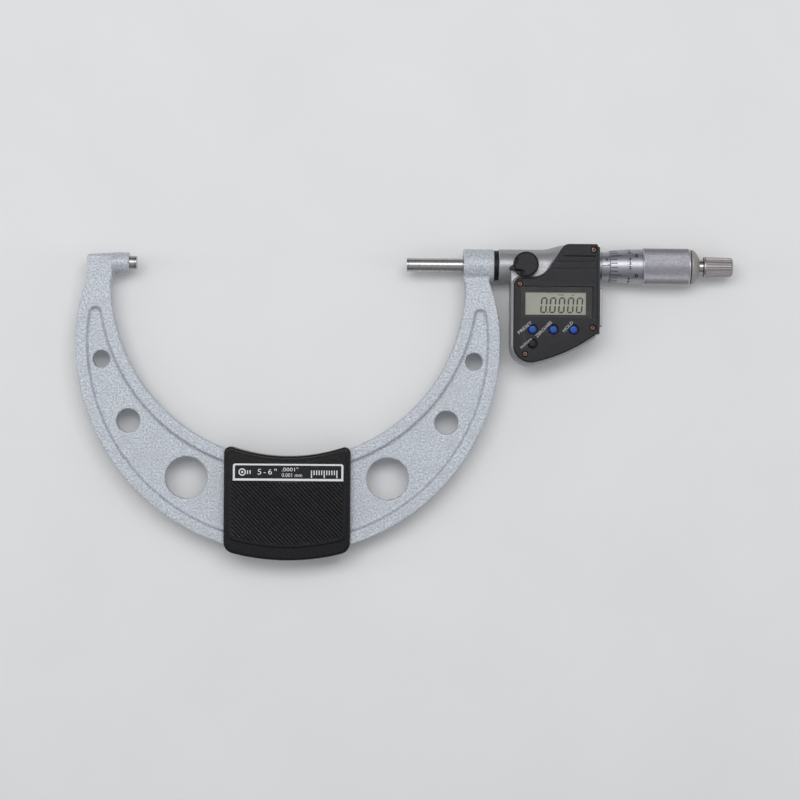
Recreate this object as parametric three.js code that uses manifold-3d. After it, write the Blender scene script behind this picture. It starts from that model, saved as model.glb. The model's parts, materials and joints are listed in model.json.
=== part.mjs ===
// Digital outside micrometer, 5 to 6 inch (127 to 152.4 mm), in millimetres.
//
// It lies on its back. The origin is the centre of the anvil's measuring face, +X runs along the
// spindle axis towards the ratchet, +Y points out of the top of the bow, away from its curve, and
// +Z points out of the display. The bow, its two heat shields and the electronics case are fixed
// together. The thimble turns the encoder rotor, and the spindle slides through it on a key.
import * as THREE from "three";
import { mergeVertices } from "three/addons/utils/BufferGeometryUtils.js";
import Module from "manifold-3d";

const wasm = await Module();
wasm.setup();

// ---- Driving dimensions, mm -----------------------------------------------------------------

const INCH = 25.4;
const GAP = 5.0625 * INCH; // anvil to spindle at rest: the reading is 5.0625 inch
const FACE_R = 6.35 / 2; // anvil and spindle
const TIP_LENGTH = 0.8; // carbide tips

const BOW_X = 72.3; // the bow is symmetric about this plane
const BOW_HALF = 5.2; // half the bow's thickness
const OUTER_ARC = { y: -37.05, r: 101.15 };
const INNER_ARC = { y: -9.25, r: 84.15 };
const ARM_DX = 21.15; // above the outer arc's centre, each arm's outer edge curves about its own centre
const ARM_END = 95.5; // from the plane of symmetry to each arm's straight outer edge
const RIM = { outer: 5.9, inner: 5.8 }; // widths of the raised rims
const WEB_HALF = 3.4; // half the thickness of the web between the rims
const RIM_END_Y = -24.2; // where the sunk web ends in each arm
const WEB_HOLES = [
  { dx: 47.8, y: -102.1, r: 10 },
  { dx: 75.6, y: -75.2, r: 5.6 },
  { dx: 88.5, y: -46.1, r: 4.1 },
];
const ANVIL_BOSS = { x1: -3.5, r: 4.85 };
const SPINDLE_BOSS = { x0: 155.5, x1: 170, r: 7.7 };

const REST_Z = -10; // the plane that the back rests on
const FRONT_Z = 10; // face of the front cover and of the front heat shield

const SHIELD = { x: 72.6, half: 30, lipInner: 1.8, lipOuter: 2.75, edgeZ: 8.4, step: 2.5, stepOuter: 6.2 };
const SHIELD_SCREWS = { dx: 20, y: -117 };
const LABEL = { x: 73.1, half: 26.1, y0: -103.2, y1: -95.15, depth: 0.6 };

const CASE = { x0: 177.9, x1: 220, topR: 9.95, noseX: 172.2, noseR: 7.7, rimZ: 8.2 };
const COVER_X = { left: 179.1, right: 219 };
const CASE_CORNER = { x: 187.4, y: -38, r: 8.3 }; // rounded lower left corner of the cover
const CASE_SWEEP_R = 77; // the cover's long lower edge
const COVER_RIM = 1.2; // case rim left showing round the cover's left and lower edges
const COVER_BACK_Z = 8.6;
const COVER_SCREWS = [
  [217, 7.2],
  [182, -9.1],
  [184.6, -42.3],
  [216.6, -29.7],
];
const WINDOW = { x0: 182.3, x1: 216.8, y0: -25.2, y1: -10.1 };
const LCD = { x0: 183.6, x1: 214.8, y0: -24.4, y1: -11.9 };
const BUTTON_R = 1.8;
const BUTTON_TOP = 10.7;
const BUTTONS = [
  ["preset_button", 188.2, -30.7],
  ["zero_button", 198, -30.7],
  ["hold_button", 207.6, -30.7],
  ["unit_button", 188.2, -37.5],
];
const CLAMP_X = 184.8;
const BATTERY = { x: 204, y: -28.5, r: 5.8, z0: -6.6, z1: -1.4 };
const PORT = { y0: -29, y1: -10.6, halfZ: 4.6 };

const BUSH = { x0: 156.6, x1: 190, r: 5.2 };
const CHAMBER = { x0: 198.5, x1: 214, r: 8.4 }; // encoder chamber in the case
const SLEEVE = { r: 6.7, x1: 250 };
const NUT_BARREL = { r: 5.9, x1: 254 };
const THIMBLE = { x0: 225.1, knurlX: 240.9, x1: 263.4, r: 8.8, frontR: 7.5, coneR: 8.3, boreR: 6.85 };
const RATCHET = { x0: 270.1, x1: 283.9, r: 4.85, endR: 4.5, neckR: 3.4 };

// ---- Solids ---------------------------------------------------------------------------------

const radians = THREE.MathUtils.degToRad;

// Facets round a circle of this radius.
const facets = (r) => (r < 1.7 ? 10 : r < 2.5 ? 16 : r < 4.2 ? 20 : r < 7.3 ? 28 : 36);

// A closed three.js geometry as a manifold-3d solid, whichever way its faces wind.
function solid(geometry) {
  const bare = geometry.clone();
  bare.deleteAttribute("normal");
  bare.deleteAttribute("uv");
  const merged = mergeVertices(bare, 1e-4);
  const index = merged.index.array;
  const faces = [];
  for (let i = 0; i < index.length; i += 3) {
    const [a, b, c] = [index[i], index[i + 1], index[i + 2]];
    if (a !== b && b !== c && c !== a) faces.push(a, b, c);
  }
  const build = (list) =>
    new wasm.Manifold(
      new wasm.Mesh({
        numProp: 3,
        vertProperties: merged.attributes.position.array,
        triVerts: new Uint32Array(list),
      }),
    );
  const made = build(faces);
  if (made.volume() > 0) return made;
  for (let i = 0; i < faces.length; i += 3) [faces[i + 1], faces[i + 2]] = [faces[i + 2], faces[i + 1]];
  return build(faces);
}

// A profile of [distance along the axis, radius] turned about an axis parallel to X, Y or Z.
function turned(profile, { axis = "x", at = [0, 0, 0], sides } = {}) {
  const most = Math.max(...profile.map(([, r]) => r));
  const points = profile.map(([along, r]) => new THREE.Vector2(r, along));
  const geometry = new THREE.LatheGeometry(points, sides ?? facets(most));
  if (axis === "x") geometry.rotateZ(-Math.PI / 2);
  if (axis === "z") geometry.rotateX(Math.PI / 2);
  return solid(geometry.translate(...at));
}

const rod = (r, a, b, options) =>
  turned(
    [
      [a, 0],
      [a, r],
      [b, r],
      [b, 0],
    ],
    options,
  );

const ring = (inner, outer, a, b, options) =>
  turned(
    [
      [a, inner],
      [a, outer],
      [b, outer],
      [b, inner],
      [a, inner],
    ],
    options,
  );

// An upright cylinder on the point x, y.
const post = (x, y, r, z0, z1, sides) => rod(r, z0, z1, { axis: "z", at: [x, y, 0], sides });

function block(x0, x1, y0, y1, z0, z1) {
  const geometry = new THREE.BoxGeometry(x1 - x0, y1 - y0, z1 - z0);
  return solid(geometry.translate((x0 + x1) / 2, (y0 + y1) / 2, (z0 + z1) / 2));
}

// An outline in the XY plane, given as [x, y] points, extruded from z0 to z1.
function prism(outline, z0, z1) {
  const shape = new THREE.Shape(outline.map(([x, y]) => new THREE.Vector2(x, y)));
  const geometry = new THREE.ExtrudeGeometry(shape, { depth: z1 - z0, bevelEnabled: false });
  return solid(geometry.translate(0, 0, z0));
}

// ---- Outlines -------------------------------------------------------------------------------

// Points on an arc, from one angle to another in degrees, both ends included.
function arc(x, y, r, from, to, steps) {
  return Array.from({ length: steps + 1 }, (_, i) => {
    const angle = radians(from + ((to - from) * i) / steps);
    return [x + r * Math.cos(angle), y + r * Math.sin(angle)];
  });
}

function roundedRectangle(x0, x1, y0, y1, r, steps = 4) {
  return [
    ...arc(x0 + r, y0 + r, r, 180, 270, steps),
    ...arc(x1 - r, y0 + r, r, 270, 360, steps),
    ...arc(x1 - r, y1 - r, r, 0, 90, steps),
    ...arc(x0 + r, y1 - r, r, 90, 180, steps),
  ];
}

const degrees = (x, y) => THREE.MathUtils.radToDeg(Math.atan2(y, x));

// The bow's outer edge at this radius, from the left arm round to the right, both cut off at top.
function outerEdge(r, top, steps) {
  const rise = top - OUTER_ARC.y;
  if (rise <= 0) {
    const end = degrees(Math.sqrt(r ** 2 - rise ** 2), rise);
    return arc(BOW_X, OUTER_ARC.y, r, 180 - end, 360 + end, steps);
  }
  const armR = r - ARM_DX;
  const end = degrees(Math.sqrt(armR ** 2 - rise ** 2), rise);
  return [
    ...arc(BOW_X - ARM_DX, OUTER_ARC.y, armR, 180 - end, 180, 4).slice(0, -1),
    ...arc(BOW_X, OUTER_ARC.y, r, 180, 360, steps),
    ...arc(BOW_X + ARM_DX, OUTER_ARC.y, armR, 0, end, 4).slice(1),
  ];
}

// The bow's inner edge at this radius, from the right arm round to the left.
function innerEdge(r, top, steps) {
  const rise = top - INNER_ARC.y;
  const end = degrees(Math.sqrt(r ** 2 - rise ** 2), rise);
  return arc(BOW_X, INNER_ARC.y, r, end, -180 - end, steps);
}

const bowBand = (outerR, innerR, top, steps) => [
  ...outerEdge(outerR, top, steps),
  ...innerEdge(innerR, top, steps),
];

// The sunk web: the band between the rims, with a round end in each arm.
function webBand() {
  const outerR = OUTER_ARC.r - RIM.outer;
  const innerR = INNER_ARC.r + RIM.inner;
  const outerX = ARM_DX + Math.sqrt((outerR - ARM_DX) ** 2 - (RIM_END_Y - OUTER_ARC.y) ** 2);
  const innerX = Math.sqrt(innerR ** 2 - (RIM_END_Y - INNER_ARC.y) ** 2);
  const endX = (outerX + innerX) / 2;
  const endR = (outerX - innerX) / 2;
  return [
    ...outerEdge(outerR, RIM_END_Y, 28),
    ...arc(BOW_X + endX, RIM_END_Y, endR, 30, 150, 4),
    ...innerEdge(innerR, RIM_END_Y, 28),
    ...arc(BOW_X - endX, RIM_END_Y, endR, 30, 150, 4),
  ];
}

// A heat shield's outline, pulled in by inset at the sides and by its own amount at each arc.
function shieldOutline(inset, innerR, outerR, corner) {
  const half = SHIELD.half - inset;
  const side = Math.asin((half - corner) / outerR) * (180 / Math.PI);
  const top = Math.asin((half - corner * 0.6) / innerR) * (180 / Math.PI);
  const lowY = OUTER_ARC.y - (outerR - corner) * Math.cos(radians(side));
  const highY = INNER_ARC.y - innerR * Math.cos(radians(top)) - corner * 0.7;
  return [
    ...arc(SHIELD.x, OUTER_ARC.y, outerR, 270 - side, 270 + side, 12),
    ...arc(SHIELD.x + half - corner, lowY, corner, 290, 360, 3).slice(1),
    [SHIELD.x + half, highY],
    ...arc(SHIELD.x, INNER_ARC.y, innerR, 270 + top, 270 - top, 12),
    [SHIELD.x - half, highY],
    ...arc(SHIELD.x - half + corner, lowY, corner, 180, 250, 3).slice(0, -1),
  ];
}

// Where two circles meet, taking the meeting point that lies to the left of the line between them.
function meet(a, ra, b, rb) {
  const d = Math.hypot(b.x - a.x, b.y - a.y);
  const along = (d ** 2 + ra ** 2 - rb ** 2) / (2 * d);
  const aside = Math.sqrt(ra ** 2 - along ** 2);
  const [ux, uy] = [(b.x - a.x) / d, (b.y - a.y) / d];
  return { x: a.x + ux * along - uy * aside, y: a.y + uy * along + ux * aside };
}

// The long lower edge and the rounded lower left corner, which the cover and the case share.
function lowerEdge(grow) {
  const end = { x: COVER_X.right, y: -32.2 };
  const sweep = meet(CASE_CORNER, CASE_SWEEP_R - CASE_CORNER.r, end, CASE_SWEEP_R);
  const from = degrees(end.x - sweep.x, end.y - sweep.y);
  const to = degrees(CASE_CORNER.x - sweep.x, CASE_CORNER.y - sweep.y);
  return [
    ...arc(sweep.x, sweep.y, CASE_SWEEP_R + grow, from, to, 8),
    ...arc(CASE_CORNER.x, CASE_CORNER.y, CASE_CORNER.r + grow, to, -180, 6).slice(1),
  ];
}

function coverOutline() {
  return [
    ...arc(COVER_X.left + 3.6, -9.9, 3.6, 180, 90, 5),
    ...arc(187.5, 3.7, 10, 270, 328.4, 6),
    ...arc(205.6, CASE.topR - 4.5, 4.5, 148.4, 90, 4),
    ...arc(COVER_X.right - 1, CASE.topR - 1, 1, 90, 0, 3),
    ...lowerEdge(0),
  ];
}

function caseOutline(inset) {
  const right = CASE.x1 - inset;
  const edge = lowerEdge(COVER_RIM - inset).filter(([x]) => x < right - 1);
  return [[CASE.x0 + inset, 0], [right, 0], [right, -32 + inset], ...edge];
}

// ---- The assembly ---------------------------------------------------------------------------

const micrometer = new THREE.Group();

const finish = (color, roughness, metalness) =>
  new THREE.MeshStandardMaterial({ color, roughness, metalness });

const finishes = {
  hammerPaint: finish(0xc4cacf, 0.5, 0.3),
  castGrey: finish(0xb4b4b2, 0.45, 0.5),
  steel: finish(0xc9cacb, 0.25, 1),
  satinChrome: finish(0xbfc1c4, 0.35, 1),
  carbide: finish(0x8f9296, 0.2, 1),
  creamPaint: finish(0xb9b6ab, 0.5, 0.2),
  blackPlastic: finish(0x2c2d31, 0.55, 0),
  shieldPlastic: finish(0x101116, 0.45, 0),
  bluePlastic: finish(0x1f62c8, 0.35, 0),
  rubber: finish(0x141414, 0.8, 0),
  screwSteel: finish(0x6f5a4e, 0.35, 1),
  label: finish(0x0c0c10, 0.3, 0),
  glass: finish(0x30322f, 0.05, 0),
  lcdGlass: finish(0xa5a795, 0.3, 0),
  boardGreen: finish(0x1f5c38, 0.5, 0),
  brass: finish(0xb08d3c, 0.3, 1),
};

function place(name, body, material) {
  const { vertProperties, triVerts } = body.getMesh();
  const geometry = new THREE.BufferGeometry()
    .setAttribute("position", new THREE.BufferAttribute(vertProperties, 3))
    .setIndex(new THREE.BufferAttribute(triVerts, 1));
  geometry.computeVertexNormals();
  const mesh = new THREE.Mesh(geometry, material);
  mesh.name = name;
  micrometer.add(mesh);
}

// The cast bow: rims round a sunk web with six lightening holes, and a boss on each arm.
function bow() {
  let body = prism(bowBand(OUTER_ARC.r, INNER_ARC.r, -6, 44), -BOW_HALF, BOW_HALF);
  for (const face of [-1, 1]) {
    const [z0, z1] = [face * WEB_HALF, face * (BOW_HALF + 1)].sort((a, b) => a - b);
    body = body.subtract(prism(webBand(), z0, z1));
  }
  const innerX = INNER_ARC.r;
  const leftArm = block(BOW_X - ARM_END, BOW_X - innerX, -6.5, 0, -BOW_HALF, BOW_HALF);
  const rightArm = block(BOW_X + innerX, BOW_X + ARM_END, -6.5, 0, -BOW_HALF, BOW_HALF);
  const anvilBoss = rod(ANVIL_BOSS.r, BOW_X - ARM_END, ANVIL_BOSS.x1);
  const spindleBoss = rod(SPINDLE_BOSS.r, SPINDLE_BOSS.x0, SPINDLE_BOSS.x1);
  body = body.add(leftArm).add(rightArm).add(anvilBoss).add(spindleBoss);
  body = body
    .subtract(rod(FACE_R + 0.05, -18.2, 0))
    .subtract(rod(BUSH.r + 0.05, SPINDLE_BOSS.x0 - 1, SPINDLE_BOSS.x1 + 1));
  for (const side of [-1, 1]) {
    for (const { dx, y, r } of WEB_HOLES) {
      body = body.subtract(post(BOW_X + side * dx, y, r, -BOW_HALF, BOW_HALF, r > 6 ? 28 : 20));
    }
    body = body.subtract(post(BOW_X + side * SHIELD_SCREWS.dx, SHIELD_SCREWS.y, 3, -6, 6));
  }
  place("frame", body, finishes.hammerPaint);
}

function anvil() {
  place("anvil", rod(FACE_R, -18, -TIP_LENGTH), finishes.steel);
  place("anvil_carbide_tip", rod(FACE_R, -TIP_LENGTH, 0), finishes.carbide);
}

// One half of the heat shield: a shell over the bow with a raised pad, facing up or down.
function heatShield(face) {
  const slab = (outline, near, far) =>
    prism(outline, Math.min(face * near, face * far), Math.max(face * near, face * far));
  const innerR = INNER_ARC.r - SHIELD.lipInner;
  const outerR = OUTER_ARC.r + SHIELD.lipOuter;
  const pad = shieldOutline(SHIELD.step, innerR + SHIELD.step, outerR - SHIELD.stepOuter, 5);
  const bowPocket = bowBand(OUTER_ARC.r + 0.3, INNER_ARC.r - 0.3, -60, 44);
  let body = slab(shieldOutline(0, innerR, outerR, 6), 0.1, SHIELD.edgeZ)
    .add(slab(pad, 6, FRONT_Z))
    .subtract(slab(bowPocket, 0, BOW_HALF + 0.15));
  for (const side of [-1, 1]) {
    const [x, y] = [BOW_X + side * SHIELD_SCREWS.dx, SHIELD_SCREWS.y];
    const cylinder = (r, near, far) =>
      post(x, y, r, Math.min(face * near, face * far), Math.max(face * near, face * far));
    body = body.add(cylinder(2.8, face > 0 ? 0.2 : 3.5, 6)).subtract(
      face > 0 ? cylinder(1.05, 0, 6) : cylinder(1.35, 3, 11).add(cylinder(2.4, 7.8, 11)),
    );
  }
  return body;
}

function heatShields() {
  const { x: labelX, half, y0, y1, depth } = LABEL;
  const [left, right] = [labelX - half, labelX + half];
  const pocket = block(left - 0.1, right + 0.1, y0 - 0.1, y1 + 0.1, FRONT_Z - depth, 11);
  place("front_heat_shield", heatShield(1).subtract(pocket), finishes.shieldPlastic);
  place("rear_heat_shield", heatShield(-1), finishes.shieldPlastic);
  const label = block(left, right, y0, y1, FRONT_Z - depth, FRONT_Z - 0.15);
  place("range_label", label, finishes.label);
  for (const [name, side] of [
    ["heat_shield_screw_left", -1],
    ["heat_shield_screw_right", 1],
  ]) {
    const [x, y] = [BOW_X + side * SHIELD_SCREWS.dx, SHIELD_SCREWS.y];
    const slot = block(x - 2, x + 2, y - 0.25, y + 0.25, -10, -9);
    const screw = post(x, y, 2.2, -9.4, -7.9, 20).add(post(x, y, 1, -8, 4));
    place(name, screw.subtract(slot), finishes.steel);
  }
}

// Guide bush through the bow and the case nose, with its wiper and the seal ring between the two.
function spindleGuide() {
  const pad = post(CLAMP_X, 0, 1.4, 0, 6);
  place("spindle_guide_bush", ring(FACE_R + 0.05, BUSH.r, BUSH.x0, BUSH.x1).subtract(pad), finishes.steel);
  place("spindle_wiper", ring(FACE_R + 0.05, BUSH.r, BUSH.x0 - 1, BUSH.x0 - 0.1), finishes.rubber);
  const seal = ring(BUSH.r + 0.1, 7.1, SPINDLE_BOSS.x1 + 0.05, CASE.noseX - 0.05);
  place("nose_seal_ring", seal, finishes.rubber);
}

// Die-cast case: a tube round the spindle axis, and a pan below it for the electronics.
function housing() {
  const flare = Array.from({ length: 7 }, (_, i) => {
    const share = i / 6;
    const rise = share * share * (3 - 2 * share);
    return [193 + 11 * share, CASE.noseR + (CASE.topR - CASE.noseR) * rise];
  });
  const tube = turned([
    [CASE.noseX, 0],
    [CASE.noseX, CASE.noseR],
    ...flare,
    [CASE.x1, CASE.topR],
    [CASE.x1, 0],
  ]);
  let body = tube.add(prism(caseOutline(0), REST_Z, CASE.rimZ));
  body = body.add(post(CLAMP_X, 0, 5.9, 4, CASE.rimZ - 0.1));
  body = body.subtract(prism(coverOutline(), CASE.rimZ, 12));

  const floor = REST_Z + 2;
  const pan = prism(caseOutline(2), floor, 12).subtract(block(170, 225, -9.2, 5, -11, 13));
  const chamber = rod(CHAMBER.r, CHAMBER.x0, CHAMBER.x1).add(
    block(CHAMBER.x0, CHAMBER.x1, -12, -1, floor, 12),
  );
  body = body.subtract(pan).subtract(chamber);
  for (const [x, y] of COVER_SCREWS.slice(1)) body = body.add(post(x, y, 2, floor, CASE.rimZ, 16));
  body = body.add(post(BATTERY.x, BATTERY.y, 8.6, floor - 1, -6.4));

  const cuts = [
    rod(BUSH.r + 0.05, 170, BUSH.x1 + 0.2),
    rod(FACE_R + 0.3, BUSH.x1, CHAMBER.x0 + 1),
    rod(NUT_BARREL.r + 0.05, CHAMBER.x1 - 1, 225),
    post(CLAMP_X, 0, 1.6, 5, 12),
    post(BATTERY.x, BATTERY.y, 6.25, -12, -6),
    post(BATTERY.x, BATTERY.y, 7.5, -12, -8.6),
    block(216, 225, PORT.y0 + 4.5, PORT.y1 - 4.5, -3, 3),
    ...COVER_SCREWS.map(([x, y]) => post(x, y, 0.9, 2.5, 12)),
    ...[PORT.y0 + 2, PORT.y1 - 2].map((y) => rod(0.75, 216.5, 225, { at: [0, y, 0] })),
  ];
  for (const cut of cuts) body = body.subtract(cut);
  place("housing", body, finishes.castGrey);
}

// Black cover with its window opening, button holes, screw seats and three grip grooves.
function frontCover() {
  let body = prism(coverOutline(), COVER_BACK_Z, FRONT_Z);
  body = body.subtract(prism(roundedRectangle(WINDOW.x0, WINDOW.x1, WINDOW.y0, WINDOW.y1, 1), 8, 11));
  for (const [, x, y] of BUTTONS) body = body.subtract(post(x, y, BUTTON_R + 0.25, 8, 11));
  for (const [x, y] of COVER_SCREWS) {
    body = body.subtract(post(x, y, 0.95, 8, 11)).subtract(post(x, y, 1.5, 9.2, 11, 20));
  }
  for (const step of [0, 1, 2]) {
    const y = 4.2 - 3.1 * step;
    body = body.subtract(block(201.6 - 1.9 * step, COVER_X.right - 0.8, y - 0.25, y + 0.25, 9.6, 11));
  }
  place("front_cover", body, finishes.blackPlastic);

  const opening = roundedRectangle(WINDOW.x0 - 0.6, WINDOW.x1 + 0.6, -26, -9.4, 1);
  let gasket = prism(coverOutline(), CASE.rimZ, COVER_BACK_Z).subtract(prism(opening, 8, 9));
  gasket = gasket.subtract(block(CHAMBER.x0, CHAMBER.x1, -9.4, 8, 8, 9));
  for (const [, x, y] of BUTTONS) gasket = gasket.subtract(post(x, y, 2.7, 8, 9));
  for (const [x, y] of COVER_SCREWS) gasket = gasket.subtract(post(x, y, 0.95, 8, 9));
  place("cover_gasket", gasket, finishes.rubber);

  COVER_SCREWS.forEach(([x, y], i) => {
    const head = post(x, y, 1.35, 9.25, 9.85, 18).subtract(post(x, y, 0.55, 9.5, 11, 6));
    place(`cover_screw_${i + 1}`, head.add(post(x, y, 0.8, 3, 9.3)), finishes.screwSteel);
  });
}

// Window, liquid crystal panel and the electronics behind them.
function electronics() {
  const pane = roundedRectangle(WINDOW.x0 + 0.1, WINDOW.x1 - 0.1, WINDOW.y0 + 0.1, WINDOW.y1 - 0.1, 0.9);
  place("display_window", prism(pane, 8.65, 9.7), finishes.glass);
  place("lcd_panel", block(LCD.x0, LCD.x1, LCD.y0, LCD.y1, 6.2, 7.9), finishes.lcdGlass);
  place("lcd_connector", block(LCD.x0 + 1, LCD.x1 - 1, -12.6, -11.95, 2.05, 6.1), finishes.rubber);
  const insideCase = prism(caseOutline(2.6), 0, 7);
  let board = prism(roundedRectangle(180.6, 213.4, -42, -10.2, 2), 1, 2).intersect(insideCase);
  for (const [x, y] of COVER_SCREWS.slice(1)) board = board.subtract(post(x, y, 2.3, 0, 3, 16));
  place("circuit_board", board, finishes.boardGreen);
  const pad = prism(roundedRectangle(185.6, 210.6, -39.6, -27.4, 1.4), 4.9, 5.9);
  place("button_pad", pad.intersect(insideCase), finishes.rubber);
  for (const [name, x, y] of BUTTONS) {
    const cap = turned(
      [
        [6.5, 0],
        [6.5, 2.4],
        [7.3, 2.4],
        [7.3, BUTTON_R],
        [BUTTON_TOP - 0.3, BUTTON_R],
        [BUTTON_TOP, BUTTON_R - 0.4],
        [BUTTON_TOP, 0],
      ],
      { axis: "z", at: [x, y, 0] },
    );
    place(name, cap, name === "unit_button" ? finishes.blackPlastic : finishes.bluePlastic);
  }
  place("encoder_stator", ring(3.7, 7.8, 200.2, 201.8), finishes.boardGreen);
}

function encoderRotor() {
  const disc = turned([
    [202.6, FACE_R + 0.08],
    [202.6, 7.6],
    [204, 7.6],
    [204, 5],
    [209, 5],
    [209, FACE_R + 0.08],
    [202.6, FACE_R + 0.08],
  ]);
  const seat = rod(0.75, 0, 6, { axis: "y", at: [206.5, 0, 0] });
  place("encoder_rotor", disc.subtract(seat), finishes.brass);
  place("rotor_key", rod(0.5, 2.6, 4.9, { axis: "y", at: [206.5, 0, 0] }), finishes.steel);
  place("rotor_thrust_washer", ring(4.1, 6.5, 209.3, 209.9), finishes.steel);
}

function batteryBay() {
  const { x, y, r, z0, z1 } = BATTERY;
  place("battery", post(x, y, r, z0, z1, 32), finishes.steel);
  const leaf = block(x - 4, x + 4, y - 1.2, y + 1.2, z1 + 0.1, z1 + 0.35)
    .add(block(x + 3.6, x + 4, y - 1.2, y + 1.2, z1 + 0.1, 0.9))
    .add(block(x + 3.6, x + 6.5, y - 1.2, y + 1.2, 0.65, 0.9));
  place("battery_contact", leaf, finishes.brass);
  const plug = turned(
    [
      [-9.7, 0],
      [-9.7, 7.3],
      [-9, 7.3],
      [-9, 6.1],
      [-6.8, 6.1],
      [-6.8, 0],
    ],
    { axis: "z", at: [x, y, 0] },
  );
  const coinSlot = block(x - 5.5, x + 5.5, y - 0.7, y + 0.7, -10, -8.9);
  place("battery_cap", plug.subtract(coinSlot), finishes.blackPlastic);
  place("battery_seal", ring(6.15, 7.2, -8.95, -8.65, { axis: "z", at: [x, y, 0] }), finishes.rubber);
}

function outputPort() {
  const { y0, y1, halfZ } = PORT;
  const [hole0, hole1] = [y0 + 4.6, y1 - 4.6];
  place("output_connector", block(214, 219.7, hole0, hole1, -2.9, 2.9), finishes.blackPlastic);
  let gasket = block(CASE.x1 + 0.02, CASE.x1 + 0.4, y0 + 0.4, y1 - 0.4, 0.4 - halfZ, halfZ - 0.4);
  let plate = block(CASE.x1 + 0.42, CASE.x1 + 1.6, y0, y1, -halfZ, halfZ);
  gasket = gasket.subtract(block(219, 222, hole0, hole1, -2.9, 2.9));
  for (const y of [y0 + 2, y1 - 2]) {
    gasket = gasket.subtract(rod(0.8, 219, 223, { at: [0, y, 0] }));
    plate = plate.subtract(rod(0.8, 219, 223, { at: [0, y, 0] }));
    plate = plate.subtract(rod(1.4, CASE.x1 + 1, 223, { at: [0, y, 0], sides: 18 }));
  }
  place("port_gasket", gasket, finishes.rubber);
  place("port_cover", plate, finishes.castGrey);
  for (const [name, y] of [
    ["port_cover_screw_lower", y0 + 2],
    ["port_cover_screw_upper", y1 - 2],
  ]) {
    const head = rod(1.3, CASE.x1 + 1.05, CASE.x1 + 1.5, { at: [0, y, 0], sides: 18 });
    const socket = rod(0.5, CASE.x1 + 1.25, 223, { at: [0, y, 0], sides: 6 });
    const shank = rod(0.65, 217, CASE.x1 + 1.2, { at: [0, y, 0] });
    place(name, head.subtract(socket).add(shank), finishes.screwSteel);
  }
}

// Fixed sleeves that carry the spindle nut and the index line.
function sleeves() {
  const barrel = turned([
    [CHAMBER.x1 + 0.1, 4.1],
    [CHAMBER.x1 + 0.1, NUT_BARREL.r],
    [NUT_BARREL.x1, NUT_BARREL.r],
    [NUT_BARREL.x1, 3.72],
    [238, 3.72],
    [237.6, 4.1],
    [CHAMBER.x1 + 0.1, 4.1],
  ]);
  place("inner_sleeve", barrel, finishes.steel);
  place("graduated_sleeve", ring(NUT_BARREL.r + 0.05, SLEEVE.r, CASE.x1 + 0.05, SLEEVE.x1), finishes.satinChrome);
  place("adjusting_nut", ring(NUT_BARREL.r + 0.05, 6.6, 250.2, 253.6), finishes.steel);
}

// Spindle with a keyway for the encoder rotor and a plain cylinder for its thread.
function spindle() {
  const shaft = turned([
    [GAP + TIP_LENGTH, 0],
    [GAP + TIP_LENGTH, FACE_R],
    [212, FACE_R],
    [212.4, 3],
    [214, 3],
    [214.4, 3.6],
    [257.9, 3.6],
    [258.2, 3],
    [264, 3],
    [264, 1.6],
    [255, 1.6],
    [255, 0],
  ]);
  const keyway = block(180, 210.2, 2.45, 4, -0.6, 0.6);
  place("spindle", shaft.subtract(keyway), finishes.steel);
  place("spindle_carbide_tip", rod(FACE_R, GAP, GAP + TIP_LENGTH), finishes.carbide);
}

function thimble() {
  const { x0, knurlX, x1, r, frontR, coneR, boreR } = THIMBLE;
  const shell = turned([
    [x0, boreR],
    [x0, frontR],
    [knurlX - 0.2, coneR],
    [knurlX, r],
    [x1 - 0.4, r],
    [x1, r - 0.4],
    [x1, 3.1],
    [258.4, 3.1],
    [258.4, 3.75],
    [256.5, 3.75],
    [256.5, boreR],
    [x0, boreR],
  ]);
  place("thimble", shell, finishes.satinChrome);
  const cap = turned([
    [x1 + 0.5, 3.5],
    [x1 + 0.5, 8.2],
    [x1 + 2.2, 7.9],
    [x1 + 4, 5.5],
    [x1 + 4.5, 4.6],
    [x1 + 4.5, 3.5],
    [x1 + 0.5, 3.5],
  ]);
  place("thimble_end_cap", cap, finishes.creamPaint);
}

// Ratchet stop: its shaft is screwed into the spindle, and the knob slips on it with a click.
class Helix extends THREE.Curve {
  constructor(r, x0, x1, turns) {
    super();
    Object.assign(this, { r, x0, x1, turns });
  }
  getPoint(share, target = new THREE.Vector3()) {
    const angle = share * this.turns * 2 * Math.PI;
    const x = this.x0 + (this.x1 - this.x0) * share;
    return target.set(x, this.r * Math.cos(angle), this.r * Math.sin(angle));
  }
}

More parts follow.
